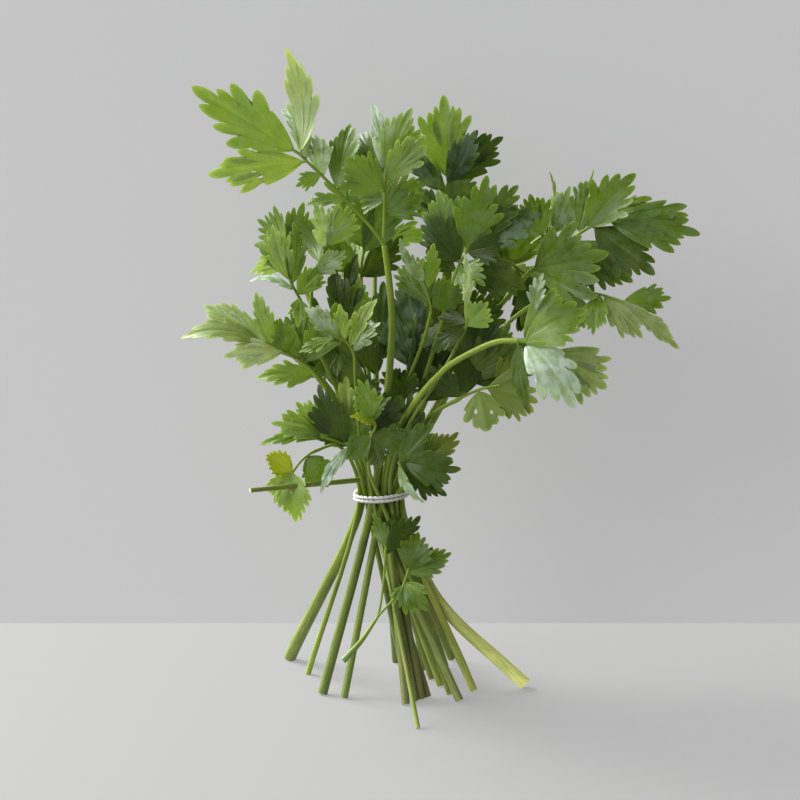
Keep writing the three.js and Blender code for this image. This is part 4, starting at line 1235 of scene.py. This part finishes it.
def stalkMaterial():
    finish = {
        "roughness": 0.42,
        "bump": 0.3,
        # what the stalk's own colour is multiplied by
        "groove": (0.66, 0.78, 0.7),
        # the paler streaks: the stalk's own paler ribs, lightened further as painted highlight
        "ridge": (1.32, 1.24, 1.4),
        "thread": (1.35, 1.3, 1.3),
        "blotch": (0.8, 0.85, 0.7),
    }
    material, principled, nodeTools = finishOf("parsleyStalk", {"Specular IOR Level": 0.25})
    nodes, link, calc, mix, times, spread, noise, attribute, bumped = nodeTools
    tint = attribute("tint").outputs["Color"]
    around = attribute("rim").outputs["Vector"]
    along = attribute("along").outputs["Fac"]
    lengthwise = nodes.new("ShaderNodeCombineXYZ")
    link(calc("MULTIPLY", along, 0.03), lengthwise.inputs["Z"])
    both = nodes.new("ShaderNodeVectorMath")
    link(around, both.inputs[0])
    link(lengthwise.outputs[0], both.inputs[1])
    streak = noise(both.outputs[0], 4.2, 3.0, 0.6)
    thread = noise(both.outputs[0], 14.0, 2.0, 0.6)
    where = nodes.new("ShaderNodeTexCoord").outputs["Object"]
    blotch = noise(where, 60.0, 2.0)
    # lengthwise darker and paler streaks; the paler ones are partly painted highlight
    shade = mix(spread(streak, 0.32, 0.68), times(tint, finish["groove"]), times(tint, finish["ridge"]))
    shade = mix(spread(thread, 0.5, 0.75, 0.0, 0.5), shade, times(shade, finish["thread"]))
    shade = mix(spread(blotch, 0.55, 0.8, 0.0, 0.4), shade, times(shade, finish["blotch"]))
    link(shade, principled.inputs["Base Color"])
    rough = spread(streak, 0.3, 0.7, finish["roughness"] + 0.08, finish["roughness"] - 0.08)
    link(rough, principled.inputs["Roughness"])
    link(bumped(thread, finish["bump"], 0.0002), principled.inputs["Normal"])
    return material


def cutMaterial():
    finish = {"bump": 0.4, "wet": (0.42, 0.47, 0.2, 1), "dry": (0.66, 0.68, 0.42, 1)}
    material, principled, nodeTools = finishOf("cutStem", {"Roughness": 0.55})
    nodes, link, calc, mix, times, spread, noise, attribute, bumped = nodeTools
    where = nodes.new("ShaderNodeTexCoord").outputs["Object"]
    grain = noise(where, 1800.0, 3.0, 0.7)
    shade = mix(spread(grain, 0.35, 0.65), finish["wet"], finish["dry"])
    link(shade, principled.inputs["Base Color"])
    link(bumped(grain, finish["bump"], 0.0002), principled.inputs["Normal"])
    return material


def stringMaterial():
    finish = {
        "bump": 0.8,
        # darker where the fibres' bump is low: painted shade between the fibres
        "groove": (0.74, 0.73, 0.7, 1),
        "cotton": (0.92, 0.91, 0.89, 1),
        "handled": (0.78, 0.76, 0.7, 1),
    }
    material, principled, nodeTools = finishOf("cottonString", {
        "Roughness": 0.9,
        "Sheen Weight": 0.35,
        "Sheen Roughness": 0.5,
    })
    nodes, link, calc, mix, times, spread, noise, attribute, bumped = nodeTools
    where = nodes.new("ShaderNodeTexCoord").outputs["Object"]
    fibre = noise(where, 2600.0, 3.0, 0.65)
    broad = noise(where, 300.0, 2.0)
    # the fibre pattern that makes the bump also darkens its low spots, painted shade
    shade = mix(spread(fibre, 0.3, 0.7), finish["groove"], finish["cotton"])
    shade = mix(spread(broad, 0.45, 0.75, 0.0, 0.4), shade, finish["handled"])
    link(shade, principled.inputs["Base Color"])
    link(bumped(fibre, finish["bump"], 0.0003), principled.inputs["Normal"])
    return material


leafSkin = leafMaterial(veinGroup())
stalkSkin = stalkMaterial()
cutEnd = cutMaterial()
cotton = stringMaterial()
print("materials made")

# stems

stalks = stalkTree()
skins = {"Skin": stalkSkin, "Cut End": cutEnd}
stemSettings = {"Sides": 14, "Ribs": 6.0, "Rib Depth": 0.05, **skins}
midstalkSettings = {"Sides": 8, "Ribs": 3.0, "Rib Depth": 0.08, **skins}

stemColours = {
    "foot": (0.46, 0.5, 0.1, 1),
    # the middle, darker than the foot and the crown, is painted shade where the stems crowd together around
    # the tie; the pale foot is the stem's own
    "middle": (0.185, 0.235, 0.035, 1),
    "crown": (0.22, 0.31, 0.03, 1),
    "middleAt": 0.35,    # where on the stem its middle colour is
    "ownFades": 0.7,     # and where its own tone would be gone
    "tones": (0.85, 1.1),
}

# what the usual girth and colour of a stem's foot are multiplied by
stemFeet = {
    "01": (1, (0.4, 0.5, 0.55)),
    "02": (1, (0.42, 0.52, 0.55)),
    "03": (1.2, (0.52, 0.5, 0.9)),
    "04": (1, (2.0, 1.85, 2.9)),
    "05": (1.15, (0.47, 0.54, 0.7)),
    "06": (1.2, (0.55, 0.56, 0.8)),
    "07": (1.2, (0.6, 0.65, 0.6)),
    "08": (1.25, (0.46, 0.45, 0.8)),
    "09": (1, (0.38, 0.38, 0.6)),
    "10": (1.2, (0.48, 0.46, 0.8)),
    "11": (1, (0.4, 0.5, 0.5)),
    "12": (1.15, (1, 1, 1)),
    "13": (1.2, (0.52, 0.5, 0.8)),
    "14": (1, (1, 1, 1)),
    "15": (1, (0.7, 0.8, 0.8)),
    "16": (1, (0.4, 0.5, 0.5)),
    "17": (1.2, (0.7, 0.8, 0.7)),
    "18": (1, (0.5, 0.55, 0.5)),
    "19": (1, (0.5, 0.55, 0.5)),
    "20": (1.3, (0.42, 0.62, 1.2)),
    "21": (1, (0.35, 0.4, 0.5)),
    "22": (1, (0.35, 0.4, 0.5)),
    "23": (1, (0.45, 0.5, 0.5)),
    "24": (1, (0.45, 0.5, 0.5)),
}

stemLines = {}


def blend(a, b, share):
    return tuple(p + (q - p) * share for p, q in zip(a, b))


def toned(tint, tone):
    return (*(c * tone for c in tint[:3]), tint[3])


def stemTint(share, tone, own):
    # a stem's own tone shows most at its foot
    middleAt = stemColours["middleAt"]
    if share < middleAt:
        tint = blend(stemColours["foot"], stemColours["middle"], share / middleAt)
        tint = [c * (1 + (o - 1) * (1 - share / stemColours["ownFades"])) for c, o in zip(tint, (*own, 1))]
    else:
        tint = blend(stemColours["middle"], stemColours["crown"], (share - middleAt) / (1 - middleAt))
    return toned(tint, tone)


def handOver(built, node):
    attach(built, "root")
    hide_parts(node)


for number, (name, sprig) in enumerate(sprigs.items()):
    rng = random.Random(100 + number)
    line = stemLine(name, sprig)
    stemLines[name] = line
    along = lengthsAlong(line)
    share = along / along[-1]
    crownGirth = sprig["girth"][1] * stemFit["crownSlim"]
    ownSwell, ownTone = stemFeet[name]
    footGirth = sprig["girth"][0] * stemFit["swell"] * ownSwell
    girth = footGirth + (crownGirth - footGirth) * share
    tone = rng.uniform(*stemColours["tones"])
    piece = Piece("stem" + name)
    piece.addWire(line, girth, [stemTint(s, tone, ownTone) for s in share])
    handOver(piece.finish(stemSettings), "stem_" + name)
print("stems built")

stub = {
    "girth": (1.8, 2.2),
    "lineStep": 2.0,
    "points": [(-51, -40, 10), (-30, -25.5, 9), (-9, -11, 8)],
}
line = smoothLine(stub["points"], stub["lineStep"])
piece = Piece("stemStub")
# all of the stub takes the stems' middle colour, which is painted shade
piece.addWire(line, np.linspace(*stub["girth"], len(line)), [stemColours["middle"]] * len(line))
handOver(piece.finish(stemSettings), "stem_stub")

# leaves

leafFit = {
    "crownShare": {1: 0.97, 2: 0.8},    # of the stem's girth, for a lone leaf and for two
    "tipGirth": 1.1,
    "slim": 0.62,        # breadth to length, under which a small leaflet is spear shaped
    "small": 11,         # breadth
    "narrow": 14,        # breadth under which fewer rings do
    "narrowRings": 7,
    "lineStep": 1.5,
    "taper": 0.7,        # how late a midstalk thins
    "stalkGreen": 0.3,   # how far a midstalk's colour is a leaf's
    "neckGreen": 0.5,
    "tones": (0.85, 1.18),
    "neckReach": 1.25,   # how far a leaflet's neck runs under its blade
    "neckGirth": (1.1, 0.9),
    "neckGrowth": (0.8, 0.01),    # its share, and that for each mm of the leaflet
}

# how far chance bends a leaflet
leafletBends = (
    ("fold", -0.1, 0.15),
    ("bow", -0.08, 0.1),
    ("curl", -0.25, 0.25),
    ("droop", -0.1, 0.3),
    ("twist", -22, 22),
)

for number, (name, sprig) in enumerate(sprigs.items()):
    rng = random.Random(500 + number)
    for letter, leaf in sprig["leaves"].items():
        stem = stemLines[name]
        wanted = np.array(sprig["rise"][leaf.get("from", -1)], float)
        at = int(np.argmin(np.linalg.norm(stem - wanted, axis=1)))
        before = stem[max(at - 3, 0)]
        midstalk = smoothLine([before, stem[at], *leaf["stalk"]], leafFit["lineStep"])
        lengths = lengthsAlong(midstalk)
        start = np.argmin(np.linalg.norm(midstalk - stem[at], axis=1))
        piece = Piece("leaf" + name + letter)
        crownGirth = sprig["girth"][1] * stemFit["crownSlim"] * leafFit["crownShare"][len(sprig["leaves"])]
        girth = crownGirth + (leafFit["tipGirth"] - crownGirth) * (lengths / lengths[-1]) ** leafFit["taper"]
        tint = blend(stemColours["crown"], leafTints["mid"], leafFit["stalkGreen"])
        piece.addWire(midstalk, girth, [tint] * len(midstalk))
        fork = [stem[at], *[np.array(p, float) for p in leaf["stalk"]]]
        usual, differing = leafLooks[name + letter]
        for order, leaflet in enumerate(leaf["leaflets"]):
            springs, x, y, z, turn, lift, breadth = leaflet
            look, changes = differing.get(order, (usual, {}))
            form = {**bladeForm, **changes}
            position = springs * (len(fork) - 1)
            i = min(int(position), len(fork) - 2)
            wanted = fork[i] + (fork[i + 1] - fork[i]) * (position - i)
            foot = midstalk[start + int(np.argmin(np.linalg.norm(midstalk[start:] - wanted, axis=1)))]
            tip = np.array((x, y, z), float)
            bladeFoot = foot + (tip - foot) * form["stalkShare"]
            length = np.linalg.norm(tip - bladeFoot)
            if not form["outline"]:
                slim = breadth < leafFit["slim"] * length
                if breadth < leafFit["small"]:
                    form["outline"] = "spear" if slim else "small"
                else:
                    form["outline"] = rng.choice(("full", "broad", "round", "long", "full"))
            if breadth < leafFit["narrow"]:
                form["rings"] = leafFit["narrowRings"]
            for bend, least, most in leafletBends:
                form[bend] += rng.uniform(least, most) * form["wild"]
            tint = toned(leafTints[look], rng.uniform(*leafFit["tones"]))
            piece.addBlade(*blade(bladeFoot, tip, turn, lift, breadth, form, rng), tint)
            neck = smoothLine([foot, foot + (bladeFoot - foot) * leafFit["neckReach"]], leafFit["lineStep"])
            growth = leafFit["neckGrowth"][0] + leafFit["neckGrowth"][1] * length
            girth = np.linspace(*leafFit["neckGirth"], len(neck)) * growth
            piece.addWire(neck, girth, [blend(stemColours["crown"], tint, leafFit["neckGreen"])] * len(neck))
        handOver(piece.finish(midstalkSettings, leafSkin), "leaf_" + name + letter)
print("leaves built")

# the string

stringFit = {
    "radius": 10.9,
    "pitch": 1.5,
    "turns": 2,
    "turnPoints": 64,
    "ply": 0.47,
    "plyApart": 0.55,    # each ply from the middle, as a share of its radius
    "lay": 4.4,          # length of one full twist of the two plies
    "step": 0.3,
    "slant": 0.05,
    "knotAngle": math.radians(115),
    # the knot at angle zero: a half hitch over the turns, and its two tails
    "knot": (
        [(10.6, -1.6, 1.7), (11.9, -1.2, 1.2), (12.3, 0.2, 0.2), (11.8, 1.3, -1.0), (10.7, 1.4, -1.6)],
        [(10.9, 1.5, 1.6), (12.2, 1.0, 0.9), (12.5, -0.4, -0.2), (11.6, -1.4, -1.3), (10.6, -1.2, -1.8)],
        [(11.4, -0.6, 0.8), (12.6, 0.4, 0.9), (13.2, 2.6, 0.4), (14.0, 5.5, -1.5)],
        [(11.4, 0.4, -0.6), (12.5, 1.2, -1.2), (12.7, 3.0, -2.6), (12.4, 5.4, -5.4)],
    ),
}


def stringTree():
    # two plies that twist round each wire
    tree, source, result = treeOf("twistedString", "GeometryNodeTree", (
        ("Geometry", "INPUT", "Geometry", None),
        ("Geometry", "OUTPUT", "Geometry", None),
        ("Ply Radius", "INPUT", "Float", 0.0003),
        ("Lay", "INPUT", "Float", 0.003),
        ("Sides", "INPUT", "Int", 9),
        ("Skin", "INPUT", "Material", None),
    ))
    nodes, link, calc = plugging(tree)
    curves = nodes.new("GeometryNodeMeshToCurve")
    link(source.outputs["Geometry"], curves.inputs["Mesh"])
    twist = nodes.new("GeometryNodeSetCurveTilt")
    length = nodes.new("GeometryNodeSplineParameter").outputs["Length"]
    turns = calc("DIVIDE", length, source.outputs["Lay"])
    link(curves.outputs[0], twist.inputs["Curve"])
    link(calc("MULTIPLY", turns, 2 * math.pi), twist.inputs["Tilt"])
    plies = nodes.new("GeometryNodeJoinGeometry")
    for side in (-stringFit["plyApart"], stringFit["plyApart"]):
        ply = nodes.new("GeometryNodeCurvePrimitiveCircle")
        link(source.outputs["Ply Radius"], ply.inputs["Radius"])
        link(source.outputs["Sides"], ply.inputs["Resolution"])
        shift = nodes.new("ShaderNodeCombineXYZ")
        link(calc("MULTIPLY", source.outputs["Ply Radius"], side), shift.inputs["X"])
        moved = nodes.new("GeometryNodeSetPosition")
        link(ply.outputs["Curve"], moved.inputs["Geometry"])
        link(shift.outputs[0], moved.inputs["Offset"])
        link(moved.outputs[0], plies.inputs[0])
    cord = nodes.new("GeometryNodeCurveToMesh")
    cord.inputs["Fill Caps"].default_value = True
    link(twist.outputs[0], cord.inputs["Curve"])
    link(plies.outputs[0], cord.inputs["Profile Curve"])
    real = nodes.new("GeometryNodeRealizeInstances")
    link(cord.outputs[0], real.inputs[0])
    skin = nodes.new("GeometryNodeSetMaterial")
    link(real.outputs[0], skin.inputs["Geometry"])
    link(source.outputs["Skin"], skin.inputs["Material"])
    link(skin.outputs[0], result.inputs[0])
    return tree


def stringPaths():
    turns = []
    steps = stringFit["turnPoints"] * stringFit["turns"]
    for i in range(steps + 1):
        angle = stringFit["knotAngle"] + 2 * math.pi * stringFit["turns"] * i / steps
        height = stringFit["pitch"] * stringFit["turns"] * (i / steps - 0.5)
        x, y = stringFit["radius"] * math.cos(angle), stringFit["radius"] * math.sin(angle)
        turns.append((x, y, height + x * stringFit["slant"]))
    c, s = math.cos(stringFit["knotAngle"]), math.sin(stringFit["knotAngle"])
    knot = [[(x * c - y * s, x * s + y * c, z) for x, y, z in path] for path in stringFit["knot"]]
    return [smoothLine(path, stringFit["step"]) for path in (turns, *knot)]


mesh = bpy.data.meshes.new("string")
vertices, edges = [], []
for path in stringPaths():
    edges += [(len(vertices) + i, len(vertices) + i + 1) for i in range(len(path) - 1)]
    vertices += place(path).tolist()
mesh.from_pydata(vertices, edges, [])
built = grown("tieString", mesh, stringTree(), {
    "Ply Radius": stringFit["ply"] * mm,
    "Lay": stringFit["lay"] * mm,
    "Sides": 9,
    "Skin": cotton,
})
handOver(built, "tie_string")
print("string tied")

# floor, backdrop and light

stage = {
    "floor": ((0.12, 0.118, 0.116), (0.31, 0.31, 0.312)),
    "wall": ((0.33, 0.326, 0.33), (0.305, 0.303, 0.306)),
    "wallBehind": 0.092,      # from the tie to the wall
    "half": 1.6,
}


def plainMaterial(name, colour, own):
    # paint that also has a light of its own, which keeps shadows soft
    material = bpy.data.materials.new(name)
    material.use_nodes = True
    principled = material.node_tree.nodes["Principled BSDF"]
    principled.inputs["Base Color"].default_value = (*colour, 1)
    principled.inputs["Roughness"].default_value = 0.7
    principled.inputs["Emission Color"].default_value = (*own, 1)
    principled.inputs["Emission Strength"].default_value = 1.0
    return material


def seeThroughBack(material):
    # the wall shows only from the front, so that the bunch can be looked at from behind it
    nodes, link = material.node_tree.nodes, material.node_tree.links.new
    clear = nodes.new("ShaderNodeBsdfTransparent")
    both = nodes.new("ShaderNodeMixShader")
    link(nodes.new("ShaderNodeNewGeometry").outputs["Backfacing"], both.inputs[0])
    link(nodes["Principled BSDF"].outputs[0], both.inputs[1])
    link(clear.outputs[0], both.inputs[2])
    link(both.outputs[0], nodes["Material Output"].inputs[0])
    return material


def sheetOf(name, corners, material):
    mesh = bpy.data.meshes.new(name)
    mesh.from_pydata(corners, [], [(0, 1, 2, 3)])
    mesh.materials.append(material)
    sheet = bpy.data.objects.new(name, mesh)
    bpy.context.scene.collection.objects.link(sheet)
    return sheet


half = stage["half"]
back = tieMiddle[1] + stage["wallBehind"]
low = cadBox[0].z
sheetOf("floor", [(-half, -half, low), (half, -half, low), (half, half, low), (-half, half, low)],
        plainMaterial("floorPaint", *stage["floor"]))
wallCorners = [(-half, back, low), (half, back, low), (half, back, low + half), (-half, back, low + half)]
wall = sheetOf("wall", wallCorners, seeThroughBack(plainMaterial("wallPaint", *stage["wall"])))
wall.visible_shadow = wall.visible_diffuse = wall.visible_transmission = wall.visible_glossy = False
print("stage set")


lights = {
    # place, size, power and colour
    "window": ((-1.8, 1.05, 1.95), 2.2, 196, (1.0, 1.0, 1.0)),
    "side": ((-2.4, -1.9, 1.7), 2.4, 70, (0.96, 0.98, 1.0)),
}
worldLight = {"colour": (0.98, 0.99, 1.0, 1), "strength": 0.28}


def areaLight(name, aim, location, size, power, colour):
    light = bpy.data.objects.new(name, bpy.data.lights.new(name, "AREA"))
    light.data.shape = "DISK"
    light.data.size = size
    light.data.energy = power
    light.data.color = colour
    light.location = location
    light.rotation_euler = (Vector(aim) - Vector(location)).to_track_quat("-Z", "Y").to_euler()
    bpy.context.scene.collection.objects.link(light)


middle = (cadBox[0] + cadBox[1]) / 2
for name, light in lights.items():
    areaLight(name, middle, *light)
world = bpy.data.worlds.new("studio")
world.use_nodes = True
background = world.node_tree.nodes["Background"]
background.inputs["Color"].default_value = worldLight["colour"]
background.inputs["Strength"].default_value = worldLight["strength"]
bpy.context.scene.world = world
bpy.context.scene.view_settings.view_transform = "Standard"

print("done")
